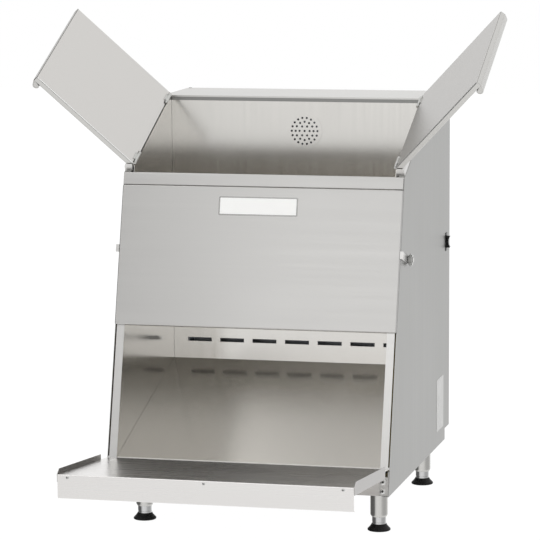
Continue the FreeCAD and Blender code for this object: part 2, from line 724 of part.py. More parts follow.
def insulation():
    """The blankets between the bin's sides and the outer sides."""
    gap = S.fit_gap
    low_z = S.base_height + S.hem * 2
    top = S.insulation_top
    points = [
        (front_face_y(low_z, S.hem * 2), low_z), (bin_back_y - S.insulation_back, low_z),
        (bin_back_y - S.insulation_back, corner_z - top),
        (front_face_y(corner_z - top, S.hem * 2), corner_z - top)]
    blankets = [across_bar(label + "_blanket", side, points, bin_outer + gap,
                           bin_outer + gap + S.insulation_thick) for label, side in SIDES]
    keep("bin_insulation", group("bin_insulation", blankets))


# Hinge rails and hinges

def hinge_rail(name, side):
    """The folded rail along one side of the sloping top, rounded over its outer edge."""
    body = new_body(name)
    low, high = ordered(side, S.hinge_rail_inner, S.hinge_rail_outer)
    outer, turn = (high, 1) if side > 0 else (low, -1)
    inner = low if side > 0 else high
    bend = S.hinge_rail_round
    crown = S.hinge_rail_rise
    points = [(inner, -rail_seat), (outer, -rail_seat), (outer, crown - bend),
              (outer - turn * bend, crown), (inner, crown)]
    arcs = {2: ((outer - turn * bend, crown - bend), bend, turn)}
    sketch = outline_sketch(body, name + "_outline", "XZ_Plane", S.hinge_rail_lead, points, arcs)
    length = lid_length + S.hinge_rail_lead * 2
    block = body.newObject("PartDesign::Pad", name + "_pad")
    block.Profile = sketch
    block.Reversed = True
    bind(block, "Length", length)
    open_face(body, block, lambda n, c: n.z < -0.9, S.sheet, name + "_fold")
    keep(name, body, TOP)


def hinge_starts():
    """Where the two hinges of a lid begin along the hinge line."""
    first = S.hinge_inset - S.knuckle_long / 2
    return (first, lid_length - S.hinge_inset - S.knuckle_long / 2)


def fixed_leaves():
    """The hinge leaves on the rails, each with a knuckle at either end."""
    leaves = []
    for label, side in SIDES:
        for number, start in enumerate(hinge_starts()):
            tag = "%s_leaf_%d" % (label, number)
            low_end = start - S.knuckle_gap - S.knuckle_end
            high_end = start + S.knuckle_long + S.knuckle_gap
            face = S.hinge_rail_inner
            span = ordered(side, face - S.leaf_sheet, face)
            plate = box(tag + "_plate", span, (low_end, high_end + S.knuckle_end),
                        (-S.leaf_drop, -S.knuckle_radius - S.knuckle_gap))
            solids = [plate]
            for end_number, end in enumerate((low_end, high_end)):
                solids.append(prism("%s_knuckle_%d" % (tag, end_number),
                                    (side * S.hinge_x, end, ZERO),
                                    S.knuckle_radius, S.knuckle_end, "y"))
                solids.append(box("%s_tab_%d" % (tag, end_number), span,
                                  (end, end + S.knuckle_end), (-S.leaf_drop, ZERO)))
            body = fuse(tag + "_body", solids)
            hole = prism(tag + "_hole", (side * S.hinge_x, low_end - S.overrun, ZERO),
                         S.pin_radius, S.knuckle_long + S.knuckle_end * 2 + S.overrun * 3, "y")
            leaves.append(cut(tag, body, [hole]))
    keep("hinge_leaves", group("hinge_leaves", leaves), TOP)


def hinge_pins():
    """The four pins, held in the outer knuckles and turning in the lids' knuckles."""
    pins = []
    for label, side in SIDES:
        for number, start in enumerate(hinge_starts()):
            low_end = start - S.knuckle_gap - S.knuckle_end - S.pin_over
            length = S.knuckle_long + (S.knuckle_gap + S.knuckle_end + S.pin_over) * 2
            pins.append(prism("%s_pin_%d" % (label, number), (side * S.hinge_x, low_end, ZERO),
                              S.pin_radius, length, "y"))
    keep("hinge_pins", group("hinge_pins", pins), TOP)


lid_lean = S.lid_open - 90
lid_start = (S.hinge_rail_rise + S.fit_gap + S.sheet * sine(lid_lean)) / cosine(lid_lean)


def lid_shell(name, side):
    """A lid's outer sheet: a shallow box with a bevelled hinge edge and a rolled handle lip."""
    wall = S.sheet
    free = S.lid_width
    body = new_body(name)
    bevel_end = lid_start + (S.lid_thick - wall) * tangent(lid_lean)
    bevelled = [
        (lid_start, wall), (free, wall), (free, S.lid_thick), (bevel_end, S.lid_thick)]
    sketch = outline_sketch(body, name + "_outline", "XZ_Plane", ZERO, bevelled)
    block = body.newObject("PartDesign::Pad", name + "_pad")
    block.Profile = sketch
    block.Reversed = True
    bind(block, "Length", lid_length)
    open_face(body, block, lambda n, c: n.z < -0.9, wall, name + "_fold")

    root, radius = S.lid_thick, S.curl_radius
    lean_cos, lean_sin = cosine(S.lip_lean), sine(S.lip_lean)
    end_cos, end_sin = cosine(S.curl_end), sine(S.curl_end)
    start = (free - S.lip_straight * lean_sin, root + S.lip_straight * lean_cos)
    centre = (start[0] - radius * lean_cos, start[1] - radius * lean_sin)
    inner = radius - wall
    lip = [
        (free, root - wall), (free, root), start,
        (centre[0] + radius * end_cos, centre[1] + radius * end_sin),
        (centre[0] + inner * end_cos, centre[1] + inner * end_sin),
        (centre[0] + inner * lean_cos, centre[1] + inner * lean_sin),
        (free - wall, root - wall * tangent(S.lip_lean / 2)), (free - wall, root - wall)]
    arcs = {2: (centre, radius, 1), 4: (centre, inner, -1)}
    profile = outline_sketch(body, name + "_lip", "XZ_Plane", -S.lip_trim, lip, arcs)
    roll = body.newObject("PartDesign::Pad", name + "_roll")
    roll.Profile = profile
    roll.Reversed = True
    bind(roll, "Length", lid_length - S.lip_trim * 2)
    keep(name, body, lid_frame(side))


def lid_liner(name, side):
    """The lid's inner sheet, which closes the box."""
    plate = bar(name, "XY_Plane", [
        (lid_start, ZERO), (S.lid_width, ZERO),
        (S.lid_width, lid_length), (lid_start, lid_length)], ZERO, S.sheet)
    keep(name, plate, lid_frame(side))


def lid_knuckles(name, side):
    """The lid's two hinge leaves, each rolled round the pin at its edge."""
    leaves = []
    half_side = Size(180.0 / PRISM_SIDES, repr(180.0 / PRISM_SIDES))
    for number, start in enumerate(hinge_starts()):
        tag = "%s_%d" % (name, number)
        tube = prism(tag + "_tube", (ZERO, start, ZERO), S.knuckle_radius, S.knuckle_long, "y")
        plate = box(tag + "_plate", (ZERO, S.leaf_long), (start, start + S.knuckle_long),
                    (-S.leaf_sheet, ZERO))
        hole = prism(tag + "_hole", (ZERO, start - S.overrun, ZERO),
                     (S.pin_radius + S.pin_clear) / cosine(half_side),
                     S.knuckle_long + S.overrun * 2, "y")
        leaves.append(cut(tag, fuse(tag + "_body", [tube, plate]), [hole]))
    keep(name, group(name, leaves), lid_frame(side))


# Lift door

def front_door():
    """The sheet door on the slanted front, drawn up here to open the serving mouth."""
    name = "front_door"
    half = S.half_width - S.door_inset
    body = new_body(name)
    front = S.door_gap + S.door_depth
    sketch = outline_sketch(body, name + "_outline", "XZ_Plane", S.door_gap, [
        (-half, S.door_bottom), (half, S.door_bottom), (half, S.door_top), (-half, S.door_top)])
    block = pad(body, sketch, front - S.door_gap, name + "_pad")
    open_face(body, block, lambda n, c: n.y > 0.9, S.sheet, name + "_fold")
    keep(name, body, FRONT)


def door_guides():
    """The door's guides: each passes the slot beside its stile and hooks behind it."""
    start = stile_outer + (S.guide_slot - S.guide_sheet) / 2
    end = start + S.guide_sheet
    face = -(S.door_gap + S.door_depth - S.sheet)
    low, high = S.door_bottom + S.guide_end, S.door_top - S.guide_end
    points = [
        (start, face), (end, face), (end, S.guide_back),
        (end - S.guide_lip, S.guide_back), (end - S.guide_lip, S.guide_back - S.guide_sheet),
        (start, S.guide_back - S.guide_sheet)]
    guides = []
    for label, side in SIDES:
        mirrored = [(side * a, b) for a, b in points]
        guides.append(bar(label + "_guide", "XY_Plane", mirrored, low, high))
    keep("door_guides", group("door_guides", guides), FRONT)


def door_grip(name, side):
    """The ear on the door's edge: a tab, a strap along the cabinet's side and a stud."""
    edge = S.half_width - S.door_inset
    low = S.door_bottom + S.grip_rise
    high = low + S.grip_height
    front = -(S.door_gap + S.door_depth)
    clear = S.half_width + S.grip_clear
    tab = box(name + "_tab", ordered(side, edge, S.half_width + S.grip_tab),
              (front, front + S.grip_tab_depth), (low, high))
    strap_span = ordered(side, clear, clear + S.grip_sheet)
    strap = box(name + "_strap", strap_span, (front, S.knob_depth), (low, high))
    middle = (low + high) / 2
    end = rod(name + "_end", (strap_span[0], S.knob_depth, middle),
              S.grip_height / 2, S.grip_sheet, "x")
    stud_length = S.grip_sheet + S.knob_clear * 2 + S.knob_height
    stud_span = ordered(side, clear, clear + stud_length)
    stud = rod(name + "_stud", (stud_span[0], S.knob_depth, middle),
               S.knob_stud, stud_length, "x")
    cap_span = ordered(side, clear + stud_length, clear + stud_length + S.stud_head)
    cap = prism(name + "_cap", (cap_span[0], S.knob_depth, middle),
                S.knob_stud * 2, S.stud_head, "x")
    keep(name, fuse(name, [tab, strap, end, stud, cap]), FRONT)


def clamp_knob(name, side):
    """The stepped knob that clamps the door at its height: a collar, a wide rim and a cap."""
    middle = S.door_bottom + S.grip_rise + S.grip_height / 2
    base = S.half_width + S.grip_clear + S.grip_sheet + S.knob_clear
    discs = []
    step = S.knob_height / 3
    for ring in range(3):
        start = base + step * ring
        low, high = ordered(side, start, start + step)
        shrink = (S.knob_step, ZERO, S.knob_step / 2)[ring]
        discs.append(prism("%s_disc_%d" % (name, ring), (low, S.knob_depth, middle),
                           S.knob_radius - shrink, step, "x", KNOB_SIDES))
    low, high = ordered(side, base - S.overrun, base + S.knob_height + S.overrun)
    tools = [rod(name + "_bore", (low, S.knob_depth, middle),
                 S.knob_stud + S.knob_hole_clear, high - low, "x")]
    keep(name, cut(name, fuse(name + "_body", discs), tools), FRONT)


# Landing tray

tray_back = (depth(S.tray_back_depth), S.tray_back_height)
apron_y = front_y - S.shelf_reach
tray_front = (apron_y + S.sheet, S.tray_front_height)
tray_slope = (tray_front[1] - tray_back[1]) / (tray_front[0] - tray_back[0])


def tray_height(place):
    """Height of the tray's top face at a Y place."""
    return tray_back[1] + (place - tray_back[0]) * tray_slope


def landing_tray():
    """The tray the chips land on: a sheet that rises to its front, with a deep folded apron."""
    wall = S.sheet
    foot = S.tray_front_height - S.apron_height
    points = [
        (apron_y, foot), (apron_y + S.apron_lip, foot), (apron_y + S.apron_lip, foot + wall),
        (apron_y + wall, foot + wall), (apron_y + wall, S.tray_front_height - wall),
        (tray_back[0], tray_back[1] - wall), tray_back, tray_front,
        (apron_y, S.tray_front_height)]
    half = inner_half - S.fit_gap
    floor = bar("landing_tray", "YZ_Plane", points, -half, half)
    keep("landing_tray", floor)


def arm_foot(place):
    """Height of the tray side's lower edge at a Y place."""
    return tray_height(place) + S.rim_height - S.arm_height


def tray_arm(name, side):
    """The tray's side: a rim above its floor and a skirt below, parallel to it."""
    start = apron_y + S.sheet + S.fit_gap
    back = front_y - S.arm_back_reach
    nose = start + S.arm_nose
    points = [
        (start, arm_foot(start)), (back, arm_foot(back)),
        (back, tray_height(back) + S.rim_height), (nose, tray_height(nose) + S.rim_height),
        (start, tray_height(start))]
    keep(name, across_bar(name, side, points, inner_half, S.half_width))


def tray_brackets():
    """The plates inside the tray's sides, each joggled inward to pass its slot."""
    thick = S.bracket_sheet
    far = inner_half - S.fit_gap
    near = far - S.bracket_joggle
    tip, root, bend = depth(-S.bracket_reach), depth(S.bracket_root), depth(-S.bracket_bend)
    inner_bend = bend - thick * MITRE_SHARE
    points = [
        (far, tip), (far, bend), (near, bend + S.bracket_joggle), (near, root),
        (near - thick, root), (near - thick, inner_bend + S.bracket_joggle),
        (far - thick, inner_bend), (far - thick, tip)]
    plates = [bar(label + "_bracket", "XY_Plane", [(side * a, b) for a, b in points],
                  S.bracket_low, S.bracket_high) for label, side in SIDES]
    keep("tray_brackets", group("tray_brackets", plates))


def tray_screws():
    """Low-head screws: two in each stile below the tray and three in the apron."""
    heads = []
    for label, side in SIDES:
        for number, along in enumerate((S.frame_screw_low, S.frame_screw_high)):
            place_y, place_z = on_front(-S.screw_head, along)
            heads.append(prism("%s_frame_screw_%d" % (label, number),
                             (side * S.frame_screw_x, place_y, place_z),
                             S.screw_radius, S.screw_head, "front"))
    for number, place in enumerate((-S.apron_screw_x, ZERO, S.apron_screw_x)):
        heads.append(prism("apron_screw_%d" % number,
                         (place, apron_y - S.screw_head, S.tray_front_height - S.apron_screw_drop),
                         S.apron_screw_radius, S.screw_head, "y"))
    keep("tray_screws", group("tray_screws", heads))


# Legs

def leg(name, side, place):
    """A leg: a tube drawn in at its lower end, with the foot's socket inside."""
    y = depth(place)
    x = side * S.leg_x
    top = S.base_height + S.sheet
    shoulder = S.leg_end_height + S.leg_taper
    tube = prism(name + "_tube", (x, y, shoulder), S.leg_radius, top - shoulder, "z", LEG_SIDES)
    taper = frustum(name + "_taper", (x, y, S.leg_end_height), S.sleeve_radius + S.leg_wall,
                    S.leg_radius, S.leg_taper, LEG_SIDES)
    socket = prism(name + "_socket", (x, y, S.leg_end_height - S.overrun),
                   S.sleeve_radius + S.sleeve_clear,
                   S.sleeve_inside + S.overrun + S.fit_gap, "z", LEG_SIDES)
    keep(name, cut(name, fuse(name + "_body", [tube, taper]), [socket]))


def foot_sleeve(name, side, place):
    """The foot's steel sleeve, which screws out of the leg to level the warmer."""
    sleeve = prism(name, (side * S.leg_x, depth(place), S.foot_height), S.sleeve_radius,
                   S.leg_end_height - S.foot_height + S.sleeve_inside, "z", LEG_SIDES)
    keep(name, sleeve)


def foot_pad(name, side, place):
    """The flared rubber foot: a rim on the floor and a skirt that narrows to the sleeve."""
    x, y = side * S.leg_x, depth(place)
    rim = prism(name + "_rim", (x, y, ZERO), S.foot_radius, S.foot_edge, "z", LEG_SIDES)
    skirt = frustum(name + "_skirt", (x, y, S.foot_edge), S.foot_radius, S.foot_top_radius,
                    S.foot_height - S.foot_edge, LEG_SIDES)
    keep(name, fuse(name, [rim, skirt]))


# Power switch

def switch_bezel():
    """The switch's housing: a flange on the side sheet and a box through its cut-out."""
    y, z = depth(S.switch_depth), S.switch_height
    face = S.half_width
    flange = box("switch_flange", (face, face + S.bezel_thick),
                 (y - S.bezel_width / 2, y + S.bezel_width / 2),
                 (z - S.bezel_height / 2, z + S.bezel_height / 2))
    housing = box("switch_housing", (face - S.switch_body_reach, face),
                  (y - S.switch_body_width / 2, y + S.switch_body_width / 2),
                  (z - S.switch_body_height / 2, z + S.switch_body_height / 2))
    half_w = S.rocker_width / 2 + S.rocker_gap
    half_h = S.rocker_height / 2 + S.rocker_gap * 2
    well = box("switch_well", (face - S.rocker_root * 2, face + S.overrun),
               (y - half_w, y + half_w), (z - half_h, z + half_h))
    keep("switch_housing", cut("switch_bezel", fuse("switch_solid", [flange, housing]), [well]))


def rocker():
    """The rocker: a saddle that tips about a cross pin, shown in its middle place."""
    half = S.rocker_height / 2
    crown = S.bezel_thick + S.rocker_crown
    root = -S.rocker_root
    points = [
        (root, -half * 0.45), (ZERO, -half), (crown, -half), (crown, half), (ZERO, half),
        (root, half * 0.45)]
    sag = S.rocker_saddle
    arcs = {2: ((crown + math.sqrt(3) / 2 * sag, ZERO), sag, -1)}
    body = bar("rocker", "XZ_Plane", points, -S.rocker_width / 2, S.rocker_width / 2, arcs)
    place = FreeCAD.Vector(S.half_width.number, depth(S.switch_depth).number,
                           S.switch_height.number)
    keep("rocker", body, FreeCAD.Placement(place, FreeCAD.Rotation()))


# Blower, heater and controls behind the bin

plenum_y = bin_back_y + S.sheet


def scroll_shape(radius, growth, grow_wall, start_y, length, neck):
    """A spiral casing section: its radius grows evenly round to the outlet, which points down."""
    cx, cz = S.vent_x.number, S.vent_height.number
    points = []
    steps = 12
    for step in range(steps + 1):
        share = step / steps
        angle = math.radians(180 - 270 * share)
        reach = radius + growth * share + grow_wall
        points.append(FreeCAD.Vector(cx + reach * math.cos(angle), start_y,
                                     cz + reach * math.sin(angle)))
    left = FreeCAD.Vector(cx - radius - grow_wall, start_y, cz - neck)
    last = points[-1]
    outlet = [last, FreeCAD.Vector(last.x, start_y, cz - neck), left, points[0]]
    face = Part.Face(Part.makePolygon(points[:-1] + outlet))
    return face.extrude(FreeCAD.Vector(0, length, 0))


def build_blower():
    """Blower: a spiral casing, a wheel of curved blades and the motor behind it."""
    wall = S.scroll_sheet.number
    start = plenum_y.number + S.plenum_gap.number
    length = S.scroll_depth.number
    neck = S.scroll_neck.number + S.scroll_radius.number
    radius, growth = S.scroll_radius.number, S.scroll_growth.number
    cx, cz = S.vent_x.number, S.vent_height.number
    outer = scroll_shape(radius, growth, wall, start, length, neck)
    inner = scroll_shape(radius, growth, 0.0, start + wall, length - wall * 2,
                         neck + S.overrun.number)
    eye = Part.makeCylinder(S.scroll_inlet.number, wall * 4,
                            FreeCAD.Vector(cx, start - wall * 2, cz), FreeCAD.Vector(0, 1, 0))
    shaft_hole = Part.makeCylinder(
        S.hub_radius.number + S.knuckle_gap.number, wall * 4,
        FreeCAD.Vector(cx, start + length - wall * 2, cz), FreeCAD.Vector(0, 1, 0))
    casing = doc.addObject("Part::Feature", "blower_casing")
    casing.Shape = outer.cut(inner).cut(eye).cut(shaft_hole)
    keep("blower_casing", casing)

    disc_y = plenum_y + S.plenum_gap + S.scroll_sheet + S.wheel_gap
    wheel = new_body("blower_wheel")
    middle = (ZERO, ZERO)
    back = disc_y + S.wheel_long
    plate = circle_sketch(wheel, "wheel_plate", "XY_Plane", ZERO, [(middle, S.wheel_radius)])
    pad(wheel, plate, S.wheel_disc, "wheel_plate_pad")
    hub = circle_sketch(wheel, "wheel_hub", "XY_Plane", ZERO, [(middle, S.hub_radius)])
    pad(wheel, hub, S.wheel_long * 0.5, "wheel_hub_pad")
    inner_r, outer_r = S.wheel_inner, S.wheel_radius - S.wheel_disc
    sketch = outline_sketch(wheel, "wheel_blade", "XY_Plane", ZERO, blade_outline())
    blade = pad(wheel, sketch, S.wheel_long, "wheel_blade_pad")
    doc.recompute()
    ring = wheel.newObject("PartDesign::PolarPattern", "wheel_blades")
    ring.Originals = [blade]
    ring.Axis = (sketch, ["N_Axis"])
    ring.Angle = 360
    ring.Occurrences = BLADES
    wheel.Tip = ring
    rim_sketch = circle_sketch(wheel, "wheel_rim", "XY_Plane", S.wheel_long - S.wheel_disc,
                               [(middle, S.wheel_radius), (middle, S.wheel_inner)])
    pad(wheel, rim_sketch, S.wheel_disc, "wheel_rim_pad")
    bore = circle_sketch(wheel, "wheel_bore", "XY_Plane", S.wheel_long,
                         [(middle, S.shaft_radius + S.shaft_clear)])
    pocket(wheel, bore, S.wheel_long + S.overrun, "wheel_bore_hole")
    spin = FreeCAD.Rotation(FreeCAD.Vector(1, 0, 0), 90)
    keep("blower_wheel", wheel,
         FreeCAD.Placement(FreeCAD.Vector(cx, back.number, cz), spin))

    casing_end = plenum_y + S.plenum_gap + S.scroll_depth
    can = rod("motor_can", (S.vent_x, casing_end, S.vent_height), S.motor_radius,
              S.motor_long, "y")
    boss = prism("motor_rear_boss", (S.vent_x, casing_end + S.motor_long, S.vent_height),
                 S.motor_boss, S.motor_boss, "y")
    shaft_start = back - S.wheel_long * 0.5
    shaft = rod("motor_shaft_rod", (S.vent_x, shaft_start, S.vent_height), S.shaft_radius,
                casing_end - shaft_start + S.motor_boss, "y")
    keep("blower_motor", fuse("blower_motor", [can, boss, shaft]))


def blade_outline():
    """A blade's section: a strip on an arc from the inner to the outer radius, in chords."""
    inner, outer = S.wheel_inner, S.wheel_radius - S.wheel_disc
    face, back = [], []
    for step in range(BLADE_CHORDS + 1):
        share = step / BLADE_CHORDS
        reach = inner + (outer - inner) * share
        sag = S.blade_curve * (share * (1 - share) + share * share * 0.35)
        face.append((reach, sag))
        back.append((reach, sag + S.blade_thick))
    return face + back[::-1]


def air_duct():
    """The duct from the blower down to the outlets: a neck that opens to a wide, flat box."""
    start = plenum_y + S.plenum_gap
    end = start + S.duct_depth
    top = S.vent_height - S.scroll_radius - S.scroll_neck - S.fit_gap
    low = S.duct_bottom
    wide, neck_z = S.duct_half_width, S.duct_neck_height
    left = S.vent_x - S.scroll_radius - S.scroll_sheet
    right = S.vent_x + S.scroll_radius + S.scroll_growth + S.scroll_sheet
    slope_z = neck_z - S.flange * 4
    points = [(-wide, low), (wide, low), (wide, slope_z), (right, neck_z),
              (right, top), (left, top), (left, neck_z), (-wide, slope_z)]
    wall = S.sheet
    hollow = [(-wide + wall, low + wall), (wide - wall, low + wall), (wide - wall, slope_z - wall),
              (right - wall, neck_z - wall), (right - wall, top + S.overrun),
              (left + wall, top + S.overrun), (left + wall, neck_z - wall),
              (-wide + wall, slope_z - wall)]
    body = new_body("air_duct")
    sketch = outline_sketch(body, "air_duct_outline", "XZ_Plane", -end, points)
    pad(body, sketch, end - start, "air_duct_pad")
    inside = outline_sketch(body, "air_duct_inside", "XZ_Plane", -start + S.overrun, hollow)
    pocket(body, inside, end - start + S.overrun - wall, "air_duct_hollow")
    keep("air_duct", body)


def heater():
    """The tubular heater: passes across the duct joined by round bends, with its end flange."""
    y = plenum_y.number + S.plenum_gap.number + S.duct_depth.number / 2
    half, bend = S.heater_half_width.number, S.heater_bend.number
    top = S.heater_height.number
    passes = int(S.heater_passes.number)
    path = []
    for step in range(passes):
        z = top - step * bend * 2
        side = 1 if step % 2 == 0 else -1
        path += [FreeCAD.Vector(-side * half, y, z), FreeCAD.Vector(side * half, y, z)]
        if step < passes - 1:
            for chord in range(1, BEND_CHORDS):
                turn = math.pi * chord / BEND_CHORDS
                path.append(FreeCAD.Vector(side * (half + bend * math.sin(turn)), y,
                                           z - bend + bend * math.cos(turn)))
    start = path[0]
    corners = [start + FreeCAD.Vector(0, S.heater_radius.number * math.cos(math.pi * k / 4),
                                      S.heater_radius.number * math.sin(math.pi * k / 4))
               for k in range(9)]
    ring = Part.makePolygon(corners)
    tube = Part.Wire(Part.makePolygon(path)).makePipeShell([ring], True, False, 1)
    face = plenum_y.number + S.plenum_gap.number
    far = face + S.duct_depth.number - S.sheet.number - S.fit_gap.number
    flange = Part.makeBox(
        S.heater_plate.number, far - face - S.heater_bend.number, S.heater_flange.number
        + bend * 2 * (passes - 1),
        FreeCAD.Vector(-half - S.heater_plate.number, face + S.heater_bend.number,
                       top - bend * 2 * (passes - 1) - S.heater_flange.number / 2))
    solids = [flange]
    for step in (0, passes - 1):
        solids.append(Part.makeCylinder(
            S.heater_pin.number, S.heater_pin_long.number + S.heater_plate.number,
            FreeCAD.Vector(-half - S.heater_plate.number - S.heater_pin_long.number, y,
                           top - step * bend * 2), FreeCAD.Vector(1, 0, 0)))
    element = doc.addObject("Part::Feature", "heating_element")
    element.Shape = tube.multiFuse(solids).removeSplitter()
    keep("heating_element", element)


def thermostat():
    """The thermostat: a round can on a square flange at the back of the duct."""
    face = plenum_y + S.plenum_gap + S.duct_depth
    x, z = S.thermostat_x, S.thermostat_height
    plate = box("thermostat_plate",
                (x - S.thermostat_radius * 1.2, x + S.thermostat_radius * 1.2),
                (face + S.fit_gap, face + S.fit_gap + S.scroll_sheet),
                (z - S.thermostat_radius * 1.2, z + S.thermostat_radius * 1.2))
    can = rod("thermostat_can", (x, face + S.fit_gap + S.scroll_sheet, z), S.thermostat_radius,
              S.thermostat_long, "y")
    keep("thermostat", fuse("thermostat", [plate, can]))


def terminal_block():
    """The mains terminal block on the step of the base pan, beside the cord's inlet."""
    floor = S.base_height + S.notch_height + S.sheet * 2
    back = back_y - S.inlet_inside - S.hem
    low = floor + S.fit_gap
    base = box("terminal_base", (S.terminal_x - S.terminal_width / 2,
                                 S.terminal_x + S.terminal_width / 2),
               (back - S.terminal_depth, back), (low, low + S.terminal_height))
    tools = []
    for pole in range(5):
        x = S.terminal_x + S.terminal_width * ((pole - 2) / 5.0)
        tools.append(prism("terminal_well_%d" % pole,
                           (x, back - S.terminal_depth / 2, low + S.terminal_height / 2),
                           S.terminal_well, S.terminal_height, "z"))
    keep("terminal_block", cut("terminal_block", base, tools))


# The whole warmer

for label, side in SIDES:
    side_panel(label + "_side_panel", side)
    bin_side(label + "_bin_wall", side)
    stile(label + "_stile", side)
    hinge_rail(label + "_hinge_rail", side)
    lid_shell(label + "_lid_shell", side)
    lid_liner(label + "_lid_liner", side)
    lid_knuckles(label + "_lid_knuckles", side)
    door_grip(label + "_door_grip", side)
    clamp_knob(label + "_clamp_knob", side)
    tray_arm(label + "_tray_arm", side)
    for end, place in (("front", S.front_leg_depth), ("rear", S.rear_leg_depth)):
        corner = "%s_%s" % (end, label)
        leg(corner + "_leg", side, place)
        foot_sleeve(corner + "_foot_sleeve", side, place)
        foot_pad(corner + "_foot_pad", side, place)
base_pan()
back_cover()
cord_inlet()
top_cover()
cover_screws()
bin_back()
bin_floor()
front_sill()
front_upper_wall()
front_rail()
vent_grille()
insulation()
fixed_leaves()
hinge_pins()
front_door()
door_guides()
landing_tray()
tray_brackets()
tray_screws()
switch_bezel()
rocker()
build_blower()
air_duct()
heater()
thermostat()
terminal_block()
doc.recompute()

# Every object has to be sound before anything is written
faults = [item.Label for item in doc.Objects if "Invalid" in item.State or "Error" in item.State]
for name, part in PARTS.items():
    if part.Shape.isNull() or not part.Shape.isValid() or not part.Shape.Solids:
        faults.append(name)
if faults:
    raise RuntimeError("failed: " + ", ".join(faults))

os.makedirs("parts", exist_ok=True)
for name, part in PARTS.items():
    part.Shape.exportStep(os.path.join("parts", name + ".step"))
    box_of = part.Shape.BoundBox
    print("%-24s %2d solid %9.0f mm3  x %7.1f %7.1f  y %7.1f %7.1f  z %6.1f %6.1f" % (
        name, len(part.Shape.Solids), part.Shape.Volume, box_of.XMin, box_of.XMax,
        box_of.YMin, box_of.YMax, box_of.ZMin, box_of.ZMax))
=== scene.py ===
import json
import math

import bpy
import numpy as np
from mathutils import Matrix, Vector


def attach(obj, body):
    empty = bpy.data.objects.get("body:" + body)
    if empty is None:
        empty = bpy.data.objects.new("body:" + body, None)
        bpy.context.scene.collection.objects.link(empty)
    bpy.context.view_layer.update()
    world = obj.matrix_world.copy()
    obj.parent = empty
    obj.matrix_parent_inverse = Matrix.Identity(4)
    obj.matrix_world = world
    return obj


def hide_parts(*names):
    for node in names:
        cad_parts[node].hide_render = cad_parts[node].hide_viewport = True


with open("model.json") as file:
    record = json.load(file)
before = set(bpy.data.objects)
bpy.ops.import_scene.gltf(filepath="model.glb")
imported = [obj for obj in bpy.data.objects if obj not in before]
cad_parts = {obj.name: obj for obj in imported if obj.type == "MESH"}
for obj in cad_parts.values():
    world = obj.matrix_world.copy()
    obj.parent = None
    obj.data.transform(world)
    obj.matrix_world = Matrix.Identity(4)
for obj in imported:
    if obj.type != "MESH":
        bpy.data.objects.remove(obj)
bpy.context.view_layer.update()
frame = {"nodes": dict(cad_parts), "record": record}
NODES = frame["nodes"]

# The warmer's own sizes, in metres, as the solids have them. TILT is the front's lean from
# upright and SLOPE the top's rise to the back; they meet at the corner. A lid's hinge side is
# bevelled, so that the lid clears its pins.
TILT = math.radians(14.6)
SLOPE = math.radians(23.6)
FRONT_Y = -0.183
FRONT_LENGTH = 0.678
BASE_Z = 0.102
CORNER_Y = FRONT_Y + FRONT_LENGTH * math.sin(TILT)
CORNER_Z = BASE_Z + FRONT_LENGTH * math.cos(TILT)
HALF_WIDTH = 0.310
SHEET = 0.0012
HINGE_RISE = 0.0173
HINGE_LINE = 0.288
PIN_RADIUS = 0.0024
PIN_GAP = 0.0003
LID_OPEN = math.radians(132)
LID_WIDTH = 0.284
LID_LENGTH = 0.332
BEVEL = math.radians(42)
LID_START = (PIN_RADIUS + PIN_GAP + SHEET * math.sin(BEVEL)) / math.cos(BEVEL)
SIDES = (("left", -1), ("right", 1))
UPRIGHT = (0, 0, 1)

# Edges that turn by more than this stay sharp
SHARP_TURN = math.radians(38)


def points_of(x, y, z):
    """Points from three coordinates, each a number or an array of them."""
    return np.stack(np.broadcast_arrays(x, y, z), axis=-1).astype(float)


def front(x, inward, along):
    """Places on the slanted front: across, into the cabinet, and up its slope."""
    return points_of(x, FRONT_Y + along * math.sin(TILT) + inward * math.cos(TILT),
                     BASE_Z + along * math.cos(TILT) - inward * math.sin(TILT))


def top(x, up, out):
    """Places on the sloping top's hinge plane: across, up its slope, and out of it."""
    return points_of(x, CORNER_Y + up * math.cos(SLOPE) - out * math.sin(SLOPE),
                     CORNER_Z + HINGE_RISE + up * math.sin(SLOPE) + out * math.cos(SLOPE))


def lid(side):
    """A lid's own places: from its hinge to its free edge, along the hinge, and outward."""
    def place(a, b, out):
        across = a * math.cos(LID_OPEN) - out * math.sin(LID_OPEN)
        raised = a * math.sin(LID_OPEN) + out * math.cos(LID_OPEN)
        if side < 0:
            return top(-HINGE_LINE + across, b, raised)
        return top(HINGE_LINE - across, LID_LENGTH - b, raised)

    return place


def sideways(y, z, along):
    """Places of a section that is carried across the cabinet."""
    return points_of(along, y, z)


def on_side(y, z, level):
    """Places on the right side sheet, and out of it."""
    return points_of(HALF_WIDTH + level, y, z)


def pairs(a, b):
    """Pairs of two coordinates, each a number or an array of them, as a list."""
    return np.stack(np.broadcast_arrays(a, b), axis=-1).tolist()


# Camera and light

# The photograph's view, with its lens in the photograph's own pixels, and the way in which the
# slanted front mirrors it
PHOTO_SIDE = 540
VIEW_TURN, VIEW_RISE, VIEW_ROLL = (math.radians(angle) for angle in (13.78, 8.78, -0.32))
VIEW_CENTRE = Vector((0, 0.250 + FRONT_Y, 0.430))
VIEW_DISTANCE = 6.44342
LENS_PIXELS = 2943.32
SHIFT_PIXELS = (-2.51, 50.57)
FILM_WIDTH = 36
FRONT_LOOKS_TO = (-0.235, -0.914, 0.335)


